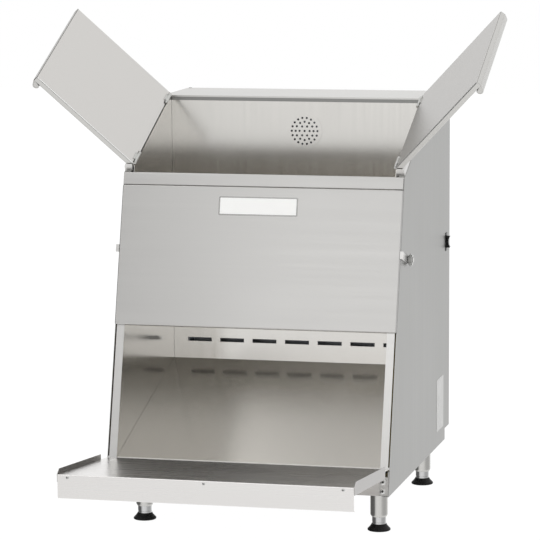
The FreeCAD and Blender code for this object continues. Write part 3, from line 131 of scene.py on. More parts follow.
def place_camera():
    """Stands the camera where the photograph was taken from, with its long lens.

    back points from the warmer to the camera: turned by VIEW_TURN and raised by VIEW_RISE."""
    back = Vector((math.sin(VIEW_TURN) * math.cos(VIEW_RISE),
                   -math.cos(VIEW_TURN) * math.cos(VIEW_RISE), math.sin(VIEW_RISE)))
    right = Vector((math.cos(VIEW_TURN), math.sin(VIEW_TURN), 0))
    up = back.cross(right)
    turned = math.cos(VIEW_ROLL) * right + math.sin(VIEW_ROLL) * up
    raised = math.cos(VIEW_ROLL) * up - math.sin(VIEW_ROLL) * right
    matrix = Matrix((turned, raised, back)).transposed().to_4x4()
    matrix.translation = VIEW_CENTRE + back * VIEW_DISTANCE
    camera = bpy.data.objects.new("camera", bpy.data.cameras.new("camera"))
    camera.data.sensor_width = FILM_WIDTH
    camera.data.lens = LENS_PIXELS / PHOTO_SIDE * FILM_WIDTH
    camera.data.shift_x = SHIFT_PIXELS[0] / PHOTO_SIDE
    camera.data.shift_y = SHIFT_PIXELS[1] / PHOTO_SIDE
    camera.data.clip_end = 60
    camera.matrix_world = matrix
    bpy.context.collection.objects.link(camera)
    bpy.context.scene.camera = camera


def area_light(name, place, aim, size, power):
    """A white soft box of a width and height in metres, turned to where it aims."""
    light = bpy.data.lights.new(name, "AREA")
    light.shape = "RECTANGLE"
    light.size, light.size_y = size
    light.energy = power
    lamp = bpy.data.objects.new(name, light)
    lamp.location = place
    lamp.rotation_euler = (Vector(aim) - Vector(place)).to_track_quat("-Z", "Y").to_euler()
    bpy.context.collection.objects.link(lamp)


def light_scene():
    """A white tent of light round the warmer, dark at its far left and dimmer on its right.

    It is also dimmer where the slanted front looks, and a near lamp there brightens the front
    towards its right. Seen directly the tent is plain white. Its tone goes by the direction's
    x, from -1 to 1, times a tone by the cosine to FRONT_LOOKS_TO."""
    world = bpy.data.worlds.new("studio")
    world.use_nodes = True
    tree = world.node_tree
    tent = tree.nodes["Background"]
    place = add_node(tree, "ShaderNodeTexCoord").outputs["Generated"]
    parts = add_node(tree, "ShaderNodeSeparateXYZ", {"Vector": place})
    across = add_node(tree, "ShaderNodeMapRange", {"Value": parts.outputs["X"]}, From_Min=-1.0)
    sides = add_node(tree, "ShaderNodeValToRGB", {"Fac": across.outputs[0]}, stops=[
        (0.0, grey(0.14)), (0.14, grey(0.18)), (0.19, grey(0.72)), (0.26, grey(0.84)),
        (0.38, grey(1.0)), (0.45, grey(1.0)), (0.78, grey(0.90)), (0.93, grey(0.60)),
        (1.0, grey(0.55))])
    ahead = add_node(tree, "ShaderNodeVectorMath", {0: place}, operation="DOT_PRODUCT")
    ahead.inputs[1].default_value = FRONT_LOOKS_TO
    dimmer = add_node(tree, "ShaderNodeValToRGB", {"Fac": ahead.outputs["Value"]},
                      stops=[(0.88, grey(1.0)), (0.96, grey(0.58))])
    level = add_node(tree, "ShaderNodeVectorMath", {0: sides.outputs[0], 1: dimmer.outputs[0]},
                     operation="MULTIPLY")
    tree.links.new(level.outputs[0], tent.inputs["Color"])
    tent.inputs["Strength"].default_value = 1.15
    seen = add_node(tree, "ShaderNodeBackground", Color=grey(1.0))
    rays = add_node(tree, "ShaderNodeLightPath")
    both = add_node(tree, "ShaderNodeMixShader", {
        "Fac": rays.outputs["Is Camera Ray"], 1: tent.outputs[0], 2: seen.outputs[0]})
    tree.links.new(both.outputs[0], tree.nodes["World Output"].inputs["Surface"])
    bpy.context.scene.world = world
    area_light("key", (-2.6, -3.4, 4.2), (0, 0, 0.4), (1.6, 1.6), 18)
    area_light("near", (-0.30, -2.4, 1.45), (0, -0.05, 0.45), (1.0, 1.3), 3.3)
    bpy.context.scene.view_settings.view_transform = "Standard"


# Materials

# Brush lines are about 0.05 mm apart on real sheet. They are drawn nine in 10 mm and a sixth of
# a metre long, or they would not show. Galvanised sheet has spangles of about 6 mm. The pores
# of moulded pieces are about 0.1 mm wide and drawn as 0.7 mm, for the same reason. Worn patches
# are about 33 mm wide, and the soft clouds of rolled sheet a third of a metre.
BRUSH_SPACING = 0.010 / 9
BRUSH_LENGTH = 1 / 6
SPANGLE = 0.00625
PORE = 1 / 1400
BLANKET_TUFT = 0.002
WORN_PATCH = 1 / 30
CLOUD = 1 / 3
BRUSH_DEPTH = 0.00005
PORE_DEPTH = 0.0002


def linear(code):
    """The shader's linear colour of a six-digit sRGB code.

    A part p is p/12.92 up to 0.04045, and ((p + 0.055)/1.055)^2.4 above."""
    parts = [int(code[place:place + 2], 16) / 255 for place in (0, 2, 4)]
    light = [p / 12.92 if p <= 0.04045 else ((p + 0.055) / 1.055) ** 2.4 for p in parts]
    return tuple(light) + (1,)


def add_node(tree, kind, links=None, stops=(), **settings):
    """Adds a node. settings name its properties or inputs, links its linked inputs.

    stops are a colour ramp's places and colours."""
    node = tree.nodes.new(kind)
    for name, value in settings.items():
        if hasattr(node, name):
            setattr(node, name, value)
        else:
            node.inputs[name.replace("_", " ")].default_value = value
    for name, source in (links or {}).items():
        tree.links.new(source, node.inputs[name])
    for number, (place, colour) in enumerate(stops):
        marks = node.color_ramp.elements
        mark = marks[number] if number < len(marks) else marks.new(place)
        mark.position = place
        mark.color = colour
    return node


def grey(value):
    """A linear grey of a value from 0 to 1."""
    return (value, value, value, 1)


def toned(colour, share):
    """A colour made darker or lighter by a share of itself."""
    return tuple(min(1, part * share) for part in colour[:3]) + (1,)


def new_material(name):
    """A material, its node tree and its shader."""
    material = bpy.data.materials.new(name)
    material.use_nodes = True
    tree = material.node_tree
    return material, tree, tree.nodes["Principled BSDF"]


def brushed(name, colour, grain, rough=(0.24, 0.40), relief=0.02, spacing=BRUSH_SPACING,
            spread=0.02, edge=1.0, metal=1.0):
    """Brushed sheet: hair-fine lines along the axis grain, over broader streaks and soft clouds.

    The mean of the three sets its tone and its dullness. spread is how far they lighten and
    darken it, edge its tone at a glancing angle, and relief how deep the lines are."""
    material, tree, shader = new_material(name)
    fine = [1 / spacing] * 3
    fine["XYZ".index(grain)] = 1 / BRUSH_LENGTH
    broad = [0.12 / spacing] * 3
    broad["XYZ".index(grain)] = 0.25 / BRUSH_LENGTH
    place = add_node(tree, "ShaderNodeTexCoord").outputs["Object"]
    layers = []
    for scale, detail, roughness in ((fine, 4.0, 0.65), (broad, 3.0, 0.5),
                                     ([1 / CLOUD] * 3, 2.0, 0.5)):
        scaled = add_node(tree, "ShaderNodeMapping", {"Vector": place}, Scale=scale)
        layers.append(add_node(tree, "ShaderNodeTexNoise", {"Vector": scaled.outputs[0]},
                               Scale=1.0, Detail=detail, Roughness=roughness).outputs["Fac"])
    pair = add_node(tree, "ShaderNodeMath", {0: layers[0], 1: layers[1]}, operation="ADD")
    whole = add_node(tree, "ShaderNodeMath", {0: pair.outputs[0], 1: layers[2]}, operation="ADD")
    mean = add_node(tree, "ShaderNodeMath", {0: whole.outputs[0]}, operation="DIVIDE")
    mean.inputs[1].default_value = len(layers)
    base = linear(colour)
    tone = add_node(tree, "ShaderNodeValToRGB", {"Fac": mean.outputs[0]},
                    stops=[(0.35, toned(base, 1 - spread)), (0.65, toned(base, 1 + spread))])
    dullness = add_node(tree, "ShaderNodeValToRGB", {"Fac": mean.outputs[0]},
                        stops=[(0.36, grey(rough[0])), (0.64, grey(rough[1]))])
    lines = add_node(tree, "ShaderNodeBump", {"Height": layers[0]},
                     Strength=relief * 10, Distance=BRUSH_DEPTH)
    tree.links.new(tone.outputs[0], shader.inputs["Base Color"])
    tree.links.new(dullness.outputs[0], shader.inputs["Roughness"])
    tree.links.new(lines.outputs["Normal"], shader.inputs["Normal"])
    shader.inputs["Metallic"].default_value = metal
    shader.inputs["Specular Tint"].default_value = grey(edge)
    return material


def moulded(name, colour, rough, metallic=0.0, grain=PORE, bump=0.1, spread=0.12, worn=0.15,
            gloss=0.5):
    """A moulded, woven or painted finish: even pores of a size, under faint worn patches.

    spread is how far the wear dulls it, worn how far it lightens and darkens the colour, and
    gloss its specular level."""
    material, tree, shader = new_material(name)
    place = add_node(tree, "ShaderNodeTexCoord").outputs["Object"]
    pores = add_node(tree, "ShaderNodeTexNoise", {"Vector": place}, Scale=1 / grain, Detail=3.0)
    wear = add_node(tree, "ShaderNodeTexNoise", {"Vector": place}, Scale=1 / WORN_PATCH,
                    Detail=4.0)
    base = linear(colour)
    tone = add_node(tree, "ShaderNodeValToRGB", {"Fac": wear.outputs["Fac"]},
                    stops=[(0.3, toned(base, 1 - worn)), (0.7, toned(base, 1 + worn))])
    dullness = add_node(tree, "ShaderNodeValToRGB", {"Fac": wear.outputs["Fac"]}, stops=[
        (0.3, grey(rough - spread / 2)), (0.7, grey(rough + spread / 2))])
    relief = add_node(tree, "ShaderNodeBump", {"Height": pores.outputs["Fac"]},
                      Strength=bump, Distance=PORE_DEPTH)
    tree.links.new(tone.outputs[0], shader.inputs["Base Color"])
    tree.links.new(dullness.outputs[0], shader.inputs["Roughness"])
    tree.links.new(relief.outputs["Normal"], shader.inputs["Normal"])
    shader.inputs["Metallic"].default_value = metallic
    shader.inputs["Specular IOR Level"].default_value = gloss
    return material


FINISHES = {
    # Brushed stainless sheet: an even soft grey that follows the light, with faint lines along
    # its brushing. The sides are the dullest, and their darker tone is painted shade of the side
    # turned from the light; the lids are the smoothest. The apron's brighter tone is painted
    # light.
    "side_steel": brushed("brushed stainless, sides, painted shade", "B6B6B4", "Z", (0.30, 0.40), spread=0.03,
                          edge=0.75),
    "front_steel": brushed("brushed stainless, frame", "D2D1CF", "X", (0.28, 0.38)),
    "door_steel": brushed("brushed stainless, door", "C0BFBD", "X", (0.28, 0.38)),
    "lid_steel": brushed("brushed stainless, lids", "C9C8C5", "Y", (0.31, 0.35), 0.003,
                         spread=0.01, edge=0.9),
    "lid_liner_steel": brushed("brushed stainless, lid liners", "CFCDCA", "Y", (0.28, 0.31),
                               0.003, spread=0.008, edge=0.9),
    "tray_steel": brushed("brushed stainless, tray", "B0AEAC", "Y", (0.30, 0.38)),
    # The apron's brighter steel is painted light: a reflection of the bright floor in front, and
    # on the sill light where the tray shades it
    "apron_steel": brushed("brushed stainless, apron, painted light", "DEDCDA", "X", (0.24, 0.32)),
    # The back hem's dark grey is painted shade of the recess under the top cover
    "hem_painted_shade": brushed("painted shade, back hem", "8A8A88", "X", (0.30, 0.40), edge=0.6),
    "hinge_steel": brushed("brushed stainless, hinges", "BDBDBA", "Y", (0.22, 0.36)),
    # Polished stainless sheet: the bin mirrors its own walls, softly, and the rolled lips catch a
    # bright line. The folded beads are near white: a painted highlight.
    "bin_steel": brushed("polished stainless, bin", "D4D2CE", "Z", (0.14, 0.22), spread=0.03),
    "lip_steel": brushed("polished stainless, lips", "C2C1BE", "Y", (0.20, 0.30), metal=0.75),
    "bead_painted_highlight": brushed("polished stainless, beads, painted highlight", "F5F5F3", "X", (0.10, 0.16), 0.01),
    # Ground stainless tube and turned steel: sharp streaks down a leg and round a knob or a
    # screw. A screw's recess is a dark piece whose grey is painted shade.
    "leg_steel": brushed("ground stainless, legs", "C2C1BE", "Z", (0.14, 0.22)),
    "sleeve_chrome": brushed("chromed steel, sleeves", "C2C2C2", "Z", (0.08, 0.16)),
    "knob_steel": brushed("turned stainless, knobs", "B2B2B0", "X", (0.16, 0.28)),
    "screw_steel": brushed("turned stainless, screws", "CCCCCA", "X", (0.12, 0.20)),
    # Painted shade inside screw recesses
    "recess_painted_shade": brushed("painted shade, screw recesses", "4A4A49", "X", (0.40, 0.50),
                            edge=0.6),
    # Galvanised sheet: dull and bluish, in broad spangles. Pressed aluminium: a pale satin can.
    "duct_steel": brushed("galvanised steel, duct and blower", "B4B8BC", "X", (0.32, 0.52),
                          spacing=SPANGLE, spread=0.06),
    "thermostat_metal": brushed("pressed aluminium, thermostat", "C9C9C9", "Z", (0.22, 0.36)),
    # Moulded nylon, ABS and rubber: black, the rocker glossy and the feet without a highlight
    "black_plastic": moulded("moulded nylon, black", "0A0A0A", 0.34, gloss=0.25),
    "rocker_gloss": moulded("moulded ABS, rocker", "080808", 0.20, bump=0.02, spread=0.06,
                            gloss=0.3),
    "foot_rubber": moulded("moulded rubber, feet", "181818", 0.45, bump=0.05, gloss=0.2),
    # Glass-fibre blanket: yellow and quite matt. Sprayed enamel on the cast motor: black, a
    # little glossy. The heater's sheath: steel browned by its own heat.
    "insulation": moulded("glass-fibre blanket", "D8C896", 0.9, grain=BLANKET_TUFT, bump=0.8),
    "motor_paint": moulded("sprayed enamel, motor", "2A2A2C", 0.38),
    "heater_metal": moulded("oxidised steel, heater", "5C534C", 0.5, metallic=0.8),
    # Plates, all bare: a pressed metal rim round a satin white field, and a grey foil label
    "plate_metal": brushed("pressed aluminium, plate rim", "A6A6A4", "X", (0.16, 0.26)),
    "plate_field": moulded("printed enamel, plate field", "FAFAF8", 0.34, bump=0.03,
                           spread=0.06, worn=0.01),
    "side_field": moulded("polyester foil, side plate", "C6C6C4", 0.34, bump=0.03,
                          spread=0.06, worn=0.01),
}


def dress_nodes():
    """Gives every carried-over solid its slot's finish. The sill gets the apron's brighter steel
    instead, which paints light onto it where the tray shades it.
    """
    slots = {row["node"]: row["material_slot"] for row in frame["record"]["subparts"]}
    # The sill's brighter steel is painted light under the tray's shade
    slots["front_sill"] = "apron_steel"
    for name, node in NODES.items():
        node.data.materials.clear()
        node.data.materials.append(FINISHES[slots[name]])


def stand_floor():
    """The pale floor, wide enough to meet the white tent at its far edge.

    It glows to the eye, so that shadows stay faint, and no gloss mirrors it: steel shows the
    tent below it too. To every other ray it is a plain floor."""
    reach = 12
    haze_width = 0.5
    mesh = bpy.data.meshes.new("floor")
    mesh.from_pydata([(-reach, -reach, 0), (reach, -reach, 0), (reach, reach, 0),
                      (-reach, reach, 0)], [], [(0, 1, 2, 3)])
    floor = bpy.data.objects.new("floor", mesh)
    bpy.context.collection.objects.link(floor)
    material, tree, shader = new_material("pale floor")
    place = add_node(tree, "ShaderNodeTexCoord").outputs["Object"]
    haze = add_node(tree, "ShaderNodeTexNoise", {"Vector": place}, Scale=1 / haze_width)
    tone = add_node(tree, "ShaderNodeValToRGB", {"Fac": haze.outputs["Fac"]},
                    stops=[(0.3, linear("F8F8F8")), (0.7, linear("FCFCFC"))])
    tree.links.new(tone.outputs[0], shader.inputs["Base Color"])
    shader.inputs["Roughness"].default_value = 0.9
    glow = add_node(tree, "ShaderNodeEmission", Color=grey(1.0), Strength=1.08)
    clear = add_node(tree, "ShaderNodeBsdfTransparent")
    rays = add_node(tree, "ShaderNodeLightPath")
    lit = add_node(tree, "ShaderNodeMixShader", {1: shader.outputs[0], 2: glow.outputs[0]},
                   Fac=0.9)
    gloss = add_node(tree, "ShaderNodeMixShader", {
        "Fac": rays.outputs["Is Glossy Ray"], 1: shader.outputs[0], 2: clear.outputs[0]})
    seen = add_node(tree, "ShaderNodeMixShader", {
        "Fac": rays.outputs["Is Camera Ray"], 1: gloss.outputs[0], 2: lit.outputs[0]})
    tree.links.new(seen.outputs[0], tree.nodes["Material Output"].inputs["Surface"])
    mesh.materials.append(material)


# Surfaces

def build_mesh(name, points, faces, finish, body, stands_for=(), slot=None):
    """Makes one piece from its points and faces, dresses it and lets it ride on a body."""
    mesh = bpy.data.meshes.new(name)
    mesh.from_pydata(points.reshape(-1, 3).tolist(), [], faces)
    mesh.polygons.foreach_set("use_smooth", [True] * len(faces))
    mesh.validate()
    piece = bpy.data.objects.new(name, mesh)
    bpy.context.collection.objects.link(piece)
    mesh.materials.append(FINISHES[finish])
    mesh.set_sharp_from_angle(angle=SHARP_TURN)
    even = piece.modifiers.new("even", "WEIGHTED_NORMAL")
    even.weight = 95
    even.keep_sharp = True
    with bpy.context.temp_override(object=piece):
        bpy.ops.object.modifier_apply(modifier="even")
    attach(piece, body)
    if stands_for:
        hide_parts(*stands_for)
    return piece


def grid_faces(rows, columns):
    """Quads over a grid of rows and columns, whose last column joins the first."""
    row = np.arange(rows - 1)[:, None] * columns
    here = np.arange(columns)
    after = (here + 1) % columns
    quads = np.stack([row + here, row + after, row + columns + after, row + columns + here], -1)
    return quads.reshape(-1, 4).tolist()


def closed_faces(rows, columns):
    """The quads of such a grid, and one face over its first and one over its last row."""
    last = (rows - 1) * columns
    ends = [list(range(columns))[::-1], list(range(last, last + columns))]
    return grid_faces(rows, columns) + ends


def rounded_path(points, radii, steps=6):
    """A line through points, with an arc of its own radius at each inner point.

    At a corner between unit directions a and b the arc starts r*tan(turn/2) before it and ends
    as far after it. Its points are start + r*(spoke turned by the angle - spoke), where spoke
    points from the arc's centre to its start."""
    points = np.array(points, float)
    path = [points[:1]]
    for before, corner, after, radius in zip(points[:-2], points[1:-1], points[2:], radii):
        a = (corner - before) / np.linalg.norm(corner - before)
        b = (after - corner) / np.linalg.norm(after - corner)
        turn = math.atan2(a[0] * b[1] - a[1] * b[0], float(a @ b))
        if radius <= 0 or abs(turn) < 1e-6:
            path.append(corner[None])
            continue
        start = corner - a * radius * math.tan(abs(turn) / 2)
        spoke = np.array([a[1], -a[0]]) * math.copysign(1, turn)
        angle = (turn * np.arange(steps + 1) / steps)[:, None]
        turned = spoke * np.cos(angle) + np.array([-spoke[1], spoke[0]]) * np.sin(angle)
        path.append(start + radius * (turned - spoke))
    path.append(points[-1:])
    return np.concatenate(path)


def moved_line(line, reach, closed=False):
    """A line moved to its left.

    A point between runs with the normals m and n goes by reach*(m + n)/(1 + m.n)."""
    run = np.diff(line, axis=0, append=line[:1])
    after = np.stack([-run[:, 1], run[:, 0]], -1) / np.linalg.norm(run, axis=1)[:, None]
    before = np.roll(after, 1, axis=0)
    if not closed:
        before[0], after[-1] = after[0], before[-1]
    return line + reach * (before + after) / (1 + (before * after).sum(1))[:, None]


def sheet_section(points, thick, bend, steps=6):
    """A folded sheet's section: its given face, and the other face to the left of it.

    Both faces turn about the same centre at each bend: radius bend inside, bend+thick outside."""
    points = np.array(points, float)
    run = np.diff(points, axis=0)
    left = run[:-1, 0] * run[1:, 1] > run[:-1, 1] * run[1:, 0]
    return (rounded_path(points, np.where(left, bend + thick, bend), steps),
            rounded_path(moved_line(points, thick), np.where(left, bend, bend + thick), steps))


def sweep_sheet(name, section, low, high, place, finish, body, **more):
    """Carries a sheet's section from low to high. place turns (a, b, along) into points."""
    face, back = section
    ring = np.concatenate([face, back[::-1]])
    total = len(ring)
    points = place(ring[:, 0], ring[:, 1], np.array([[low], [high]]))
    here = np.arange(len(face) - 1)
    first = np.stack([here, here + 1, total - 2 - here, total - 1 - here], -1)
    faces = grid_faces(2, total) + first[:, ::-1].tolist() + (first + total).tolist()
    return build_mesh(name, points, faces, finish, body, **more)


def lathe(name, profile, middle, axis, finish, body, sides=48, flutes=0, depth=0.0, **more):
    """Turns a profile of (radius, along) about an axis through middle.

    A point is middle + along*axis + r*(side*cos(angle) + other*sin(angle)), side and other
    being square to the axis. With flutes, r is less by depth*(1 - cos(flutes*angle))/2."""
    axis = Vector(axis).normalized()
    side = axis.orthogonal().normalized()
    axis, side, other = (np.array(way) for way in (axis, side, axis.cross(side)))
    radius, along = np.array(profile, float).T[..., None]
    angle = 2 * math.pi * np.arange(sides) / sides
    cut = np.where(radius > depth * 2, depth * (1 - np.cos(flutes * angle)) / 2, 0.0)
    spoke = np.cos(angle)[:, None] * side + np.sin(angle)[:, None] * other
    points = np.array(middle) + along[..., None] * axis + (radius - cut)[..., None] * spoke
    return build_mesh(name, points, closed_faces(len(profile), sides), finish, body, **more)


def ringed(name, span_a, span_b, corner, rings, place, finish, body, arc=5, **more):
    """A piece of nested outlines: rectangles with round corners, each (inset, level) of rings.

    Ring by ring the outline is drawn in by its inset and lies at its level. The first and the
    last are closed over. A corner's radius is corner - inset, but never under a hair, and its
    centre lies inset + radius within both edges."""
    inset, level = np.array(rings, float).T[..., None]
    half_a, half_b = (span_a[1] - span_a[0]) / 2, (span_b[1] - span_b[0]) / 2
    sides = 4 * (arc + 1)
    quarter, part = np.divmod(np.arange(sides), arc + 1)
    angle = math.pi / 2 * (quarter + part / arc)
    radius = np.maximum(corner - inset, 1e-5)
    a = (half_a - inset - radius) * np.array([1, -1, -1, 1])[quarter] + radius * np.cos(angle)
    b = (half_b - inset - radius) * np.array([1, 1, -1, -1])[quarter] + radius * np.sin(angle)
    points = place(sum(span_a) / 2 + a, sum(span_b) / 2 + b, level)
    return build_mesh(name, points, closed_faces(len(rings), sides), finish, body, **more)


def edge_rings(edge, high, steps=5):
    """The rings of a rounded edge: drawn in by e*(1 - cos t) at a level of high - e + e*sin t."""
    turn = math.pi / 2 * np.arange(steps + 1) / steps
    return pairs(edge * (1 - np.cos(turn)), high - edge + edge * np.sin(turn))


def pan_rings(deep, thick, bend, soft=0.0):
    """The rings of a shallow sheet pan, from its inner floor over its rim to its outer face.

    soft rounds both edges of its rim, in points at soft*(1 - sin t) and soft*(1 - cos t)."""
    turn = math.pi / 2 * np.arange(5) / 4
    inner = pairs(thick - soft * (1 - np.cos(turn)), soft * (1 - np.sin(turn)))
    outer = pairs(soft * (1 - np.sin(turn)), soft * (1 - np.cos(turn)))
    rim = inner + outer if soft else [(thick, 0), (0, 0)]
    floor = [(thick + 0.001, deep - thick), (thick, deep - thick - 0.001)]
    return floor + rim + edge_rings(bend, deep)


def sweep_outline(name, outline, low, high, place, finish, body, **more):
    """Carries a closed outline from low to high and closes both ends."""
    a, b = np.array(outline, float).T
    points = place(a, b, np.array([[low], [high]]))
    return build_mesh(name, points, closed_faces(2, len(a)), finish, body, **more)


def closed_rounded(points, radii, steps=6):
    """A closed outline with an arc of its own radius at each corner."""
    points = np.array(points, float)
    seam = (points[-1:] + points[:1]) / 2
    return rounded_path(np.concatenate([seam, points, seam]), radii, steps)[:-1]


# Sheet pieces

def make_door():
    """The door's pan, folded back all round, with a bare plate on it."""
    def face(a, b, level):
        return front(a, -0.001 - level, b)

    def plate(a, b, level):
        return front(a, -0.007 - level, b)

    ringed("door_skin", (-0.3095, 0.3095), (0.346, 0.6505), 0.0022,
           pan_rings(0.006, SHEET, 0.002), face, "door_steel", "door",
           stands_for=["front_door"], slot="front_steel")
    ringed("plate_rim", (-0.092, 0.082), (0.5885, 0.6290), 0.0022,
           [(0, 0), (0, 0.0007), (0.0003, 0.0010), (0.0018, 0.0010), (0.0021, 0.0006),
            (0.0021, 0)], plate, "plate_metal", "door", slot="front_steel")
    ringed("plate_field", (-0.0895, 0.0795), (0.5910, 0.6265), 0.0010,
           [(0, 0), (0, 0.0005), (0.0002, 0.0007)], plate, "plate_field", "door",
           slot="front_steel")


def make_front_rail():
    """The folded top rail of the front, with bends of 1 to 3 mm at its four corners."""
    def crosswise(a, b, along):
        return front(along, a, b)

    outline = closed_rounded(
        [(-0.007, 0.6515), (0.005, 0.6515), (0.005, 0.673), (-0.007, 0.681)],
        [0.002, 0.001, 0.001, 0.003])
    sweep_outline("front_rail_skin", outline, -0.3085, 0.3085, crosswise, "door_steel",
                  "cabinet", stands_for=["front_rail"], slot="front_steel")


def make_hinge_rails():
    """Each hinge rail, rounded over its outer edge."""
    def uphill(a, b, along):
        return top(a, along, b)

    for label, side in SIDES:
        outline = closed_rounded(
            [(side * 0.2922, -0.01585), (side * 0.3094, -0.01585), (side * 0.3094, 0.0024),
             (side * 0.2922, 0.0024)], [0.0006, 0.0006, 0.007, 0.0012], 8)
        sweep_outline(label + "_hinge_rail_skin", outline, -0.002, 0.334, uphill,
                      "front_steel", "cabinet", stands_for=[label + "_hinge_rail"])


def make_lid(label, side):
    """A lid: its outer pan, its inner sheet with a bead at either end, and its rolled lip.

    The pan is drawn in towards the hinge on a bevel: at each level it starts tan(bevel)*level
    later, and its points are spread evenly from there to the free edge. A bead is half an
    ellipse, 3.4 mm wide and 0.9 mm high."""
    place = lid(side)
    body = label + "_lid"

    def bevelled(a, b, level):
        start = LID_START + math.tan(BEVEL) * level
        return place(start + a / LID_WIDTH * (LID_WIDTH - start), b, SHEET + level)

    def across(a, b, along):
        return place(a, along, b)

    def lengthwise(a, b, along):
        return place(along, a, b)

    ringed(label + "_lid_pan", (0, LID_WIDTH), (0, LID_LENGTH), 0.0022,
           pan_rings(0.0108, 0.0011, 0.002, 0.0005), bevelled, "lid_steel", body,
           stands_for=[label + "_lid_shell"])
    ringed(label + "_lid_inner", (LID_START, 0.2824), (0.0042, 0.3278), 0.0010,
           [(0, SHEET), (0, 0.0006)]
           + [(inset, SHEET - level) for inset, level in edge_rings(0.0006, SHEET)],
           place, "lid_liner_steel", body, stands_for=[label + "_lid_liner"])
    outer, inner = lip_section()
    sweep_sheet(label + "_lid_lip", (outer, inner), 0.001, 0.331, across, "lip_steel", body,
                stands_for=[label + "_lid_shell"], slot="lid_steel")
    turn = math.pi * np.arange(11) / 10
    cap = inner.mean(0) + 0.97 * (inner - inner.mean(0))
    for end, middle, start in (("low", 0.0028, 0.0014), ("high", 0.3292, 0.3302)):
        bead = pairs(middle + 0.0017 * np.cos(turn), 0.0009 * (1 - np.sin(turn)))
        # The beads' near-white colour is a painted highlight
        sweep_outline("%s_lid_bead_%s" % (label, end), bead, LID_START + 0.0002, 0.2822,
                      lengthwise, "bead_painted_highlight", body, slot="lid_liner_steel")
        sweep_outline("%s_lid_lip_end_%s" % (label, end), cap, start, start + 0.0004,
                      across, "lip_steel", body, slot="lid_steel")
    make_liner_edges(label, body, place)


def make_liner_edges(label, body, place):
    """The liner's edge between the hinges, and the rivets that hold the hinge leaves to it.

    A hinge with its pin is 50 mm long, about a middle 30 mm from either end of the lid."""
    hinges = (0.030, 0.302)
    clear = 0.0255
    spans = ((0.0022, hinges[0] - clear), (hinges[0] + clear, hinges[1] - clear),
             (hinges[1] + clear, 0.3298))
    for number, span in enumerate(spans):
        ringed("%s_lid_edge_%d" % (label, number), (0.0004, LID_START + 0.002), span, 0.0006,
               [(0, 0.0011), (0, 0.0004), (0.0002, 0.0001)], place, "lid_liner_steel", body)
    for number, hinge in enumerate(hinges):
        for end, along in enumerate((hinge - 0.0105, hinge + 0.0105)):
            inward = place(0.0060, along, -0.002) - place(0.0060, along, 0)
            screw_head("%s_hinge_rivet_%d_%d" % (label, number, end),
                       place(0.0060, along, -0.0012), inward, 0.0021, 0.0009, body,
                       slot="hinge_steel")


def lip_section():
    """The pull lip's outer and inner line, on the lid's free edge.

    It leans in from the edge by lean over its straight, then curls back round a centre that
    lies radius from the straight's end, square to it, to 215 degrees."""
    straight, lean, radius = 0.011, math.radians(30), 0.0075
    along = np.array([-math.sin(lean), math.cos(lean)])
    across = np.array([math.cos(lean), math.sin(lean)])
    centre = np.array([LID_WIDTH, 0.012]) + along * straight - across * radius
    turn = lean + (math.radians(215) - lean) * np.arange(23) / 22

    def side(reach):
        shift = (radius - reach) * math.tan(lean / 2)
        foot = np.array([LID_WIDTH - (radius - reach), 0.0104])
        corner = np.array([LID_WIDTH - (radius - reach), 0.012 - shift])
        curl = centre + reach * np.stack([np.cos(turn), np.sin(turn)], -1)
        return np.concatenate([[foot, corner * 0.7 + foot * 0.3, corner + along * 0.0008], curl])

    return side(radius), side(radius - SHEET)


def make_painted_shade_hem():
    """A dark strip at the hem of the bin's back sheet, set back under the top cover's front edge:
    painted shade of the recess there.
    """
    points = [(0.3002, 0.8900), (0.3010, 0.8900), (0.3010, 0.9005), (0.3002, 0.9005)]
    sweep_outline("back_hem_painted_shade", points, -HINGE_LINE, HINGE_LINE, sideways, "hem_painted_shade", "cabinet",
                  slot="bin_steel")


def make_tray():
    """The landing tray, bent down over its front edge and back under the apron."""
    section = sheet_section(
        [(-0.177, 0.1603), (-0.521, 0.1928), (-0.521, 0.1428), (-0.513, 0.1428)], SHEET, SHEET)
    # The tray wears the apron's brighter steel, a painted reflection of the bright floor in front
    sweep_sheet("tray_skin", section, -0.3085, 0.3085, sideways, "apron_steel", "cabinet",
                stands_for=["landing_tray"], slot="tray_steel")


# Turned pieces

def make_feet():
    """Legs with a drawn-in end, turned sleeves, and rubber feet with a flared skirt.

    Over a share s of its height a leg's end has a radius of 16.6 + 2.4*sin(90*s) mm, and a
    skirt one of 16.5 + 8*(1 - s)^1.3 mm."""
    share = np.arange(7) / 6
    leg = [(0.0155, 0.0320), (0.0157, 0.0304), (0.0166, 0.0304)]
    leg += pairs(0.0166 + 0.0024 * np.sin(share * math.pi / 2), 0.0306 + 0.006 * share)
    leg += [(0.0190, 0.1032), (0.0175, 0.1032), (0.0155, 0.0640)]
    sleeve = [(0.0150, 0.0146), (0.0152, 0.0150), (0.0152, 0.0180), (0.0146, 0.0184),
              (0.0146, 0.0192), (0.0152, 0.0196), (0.0152, 0.0644)]
    share = np.arange(9) / 8
    pad = [(0.0215, 0.0), (0.0235, 0.0), (0.0247, 0.0008), (0.0250, 0.0020), (0.0248, 0.0034)]
    pad += pairs(0.0165 + 0.0080 * (1 - share) ** 1.3, 0.0040 + 0.0098 * share)
    pad += [(0.0163, 0.0144), (0.0157, 0.0146)]
    for end, y in (("front", -0.049), ("rear", 0.444)):
        for label, side in SIDES:
            middle = (side * 0.262, y, 0)
            corner = "%s_%s" % (end, label)
            lathe(corner + "_leg_tube", leg, middle, UPRIGHT, "leg_steel", "cabinet",
                  stands_for=[corner + "_leg"])
            lathe(corner + "_sleeve_tube", sleeve, middle, UPRIGHT, "sleeve_chrome",
                  corner + "_foot", stands_for=[corner + "_foot_sleeve"])
            lathe(corner + "_foot_skirt", pad, middle, UPRIGHT, "foot_rubber",
                  corner + "_foot", stands_for=[corner + "_foot_pad"])


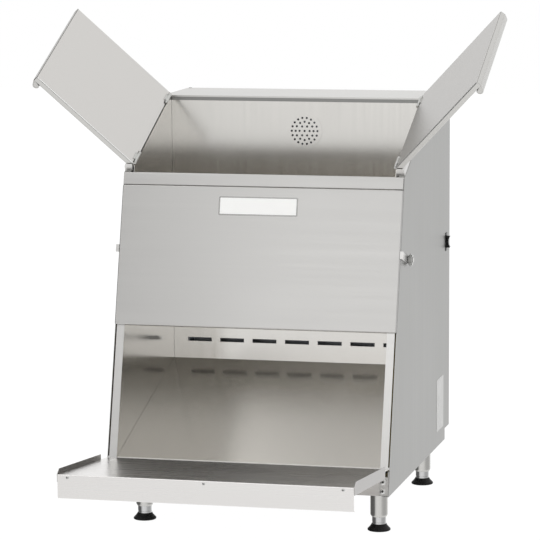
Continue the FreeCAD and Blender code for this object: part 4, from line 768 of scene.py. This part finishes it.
def make_knobs():
    """The clamp knobs: a collar, a wide rim with a fine knurl, and a ringed cap."""
    profile = [(0.0031, 0.0001), (0.0098, 0.0001), (0.0105, 0.0006), (0.0105, 0.0025),
               (0.0099, 0.0030), (0.0126, 0.0031), (0.0135, 0.0037), (0.0135, 0.0055),
               (0.0129, 0.0060), (0.0112, 0.0059), (0.0112, 0.0066), (0.0120, 0.0070),
               (0.0120, 0.0084), (0.0113, 0.0089), (0.0088, 0.0090), (0.0084, 0.0086),
               (0.0064, 0.0086), (0.0060, 0.0090), (0.0031, 0.0090)]
    for label, side in SIDES:
        lathe(label + "_knob_grip", profile, front(side * 0.3132, 0.072, 0.5115),
              (side, 0, 0), "knob_steel", label + "_knob", sides=96, flutes=32, depth=0.0003,
              stands_for=[label + "_clamp_knob"])


def screw_head(name, middle, axis, radius, high, body, slot="screw_steel", **more):
    """A domed screw head with a narrow rim, and a round recess in its middle darkened as painted
    shade.

    The dome's radius is r*(0.42 + 0.44*cos t) at a height of h*(0.34 + 0.66*sin t)."""
    profile = [(radius, 0.0), (radius, high * 0.25), (radius * 0.9, high * 0.34)]
    turn = math.pi / 2 * np.arange(1, 6) / 5
    profile += pairs(radius * (0.42 + 0.44 * np.cos(turn)), high * (0.34 + 0.66 * np.sin(turn)))
    profile += [(radius * 0.38, high * 0.5), (radius * 0.30, high * 0.04), (radius * 0.03, 0.0)]
    recess = [(radius * 0.36, high * 0.05), (radius * 0.36, high * 0.45),
              (radius * 0.2, high * 0.3), (radius * 0.02, high * 0.3)]
    # The recess is a dark piece: painted shade
    lathe(name + "_recess_shade", recess, middle, axis, "recess_painted_shade", body, sides=12, slot=slot)
    lathe(name, profile, middle, axis, "screw_steel", body, sides=24, slot=slot, **more)


def make_screws():
    """Screws of the tray, the back cover and the top cover, in place of the plain discs."""
    outward = (0, -math.cos(TILT), math.sin(TILT))
    for label, side in SIDES:
        for number, along in enumerate((0.0115, 0.031)):
            screw_head("%s_frame_screw_%d" % (label, number), front(side * 0.2965, 0, along),
                       outward, 0.006, 0.002, "cabinet", stands_for=["tray_screws"])
        for number, z in enumerate((0.1346, 0.50235, 0.8945)):
            screw_head("%s_back_screw_%d" % (label, number), (side * 0.303, 0.520, z),
                       (0, 1, 0), 0.004, 0.0018, "cabinet", stands_for=["cover_screws"])
        for number, y in enumerate((0.3198, 0.513)):
            screw_head("%s_top_screw_%d" % (label, number), (side * 0.303, y, 0.9027),
                       (0, 0, 1), 0.004, 0.0018, "cabinet", stands_for=["cover_screws"])
    for number, x in enumerate((-0.287, 0.0, 0.287)):
        screw_head("apron_screw_%d" % number, (x, -0.521, 0.1868), (0, -1, 0), 0.003, 0.002,
                   "cabinet", stands_for=["tray_screws"])


def make_switch():
    """The switch's flange with rounded corners, and its saddle-shaped rocker.

    The rocker's face is a hollow arc of radius saddle, from half below to half above its
    middle. Its outline is drawn in towards both ends, which rounds their edges by edge."""
    y, z = 0.477, 0.561

    def face(a, b, level):
        return on_side(y + a, z + b, level)

    ringed("switch_flange_rim", (-0.0091, 0.0091), (-0.0211, 0.0211), 0.0020,
           [(0, 0)] + edge_rings(0.0006, 0.0013) + [(0.0034, 0.0013), (0.0037, 0.0010),
                                                   (0.0037, 0.0002)],
           face, "black_plastic", "cabinet")
    crown, half, saddle, edge, half_thick = 0.0102, 0.0135, 0.024, 0.0008, 0.00475
    middle = crown + math.sqrt(saddle ** 2 - half ** 2)
    turn = math.radians(28) * np.arange(-8, 9) / 8
    dip = pairs(middle - saddle * np.cos(turn), saddle * np.sin(turn))
    points = ([(-0.006, -half * 0.45), (0, -half), (crown, -half)] + dip
              + [(crown, half), (0, half), (-0.006, half * 0.45)])
    outline = closed_rounded(points, [0.0005, 0.0005, 0.0010] + [0] * len(dip)
                             + [0.0010, 0.0005, 0.0005])
    turn = math.pi / 2 * np.arange(5) / 4
    inset = edge * (1 - np.sin(turn))
    along = edge * (1 - np.cos(turn)) - half_thick
    rings = np.stack([moved_line(outline, reach, closed=True)
                      for reach in np.concatenate([inset, inset[::-1]])])
    points = face(np.concatenate([along, -along[::-1]])[:, None], rings[..., 1], rings[..., 0])
    build_mesh("rocker_saddle", points, closed_faces(*rings.shape[:2]), "rocker_gloss",
               "switch_rocker", stands_for=["rocker"], slot="black_plastic")


def make_side_plate():
    """The bare plate low on the right side."""
    ringed("side_plate", (0.365, 0.447), (0.137, 0.257), 0.002,
           [(0, 0), (0, 0.0003), (0.0002, 0.0005)], on_side, "side_field", "cabinet",
           slot="side_steel")


place_camera()
light_scene()
stand_floor()
dress_nodes()
make_door()
make_front_rail()
make_hinge_rails()
for lid_label, lid_side in SIDES:
    make_lid(lid_label, lid_side)
make_painted_shade_hem()
make_tray()
make_feet()
make_knobs()
make_screws()
make_switch()
make_side_plate()
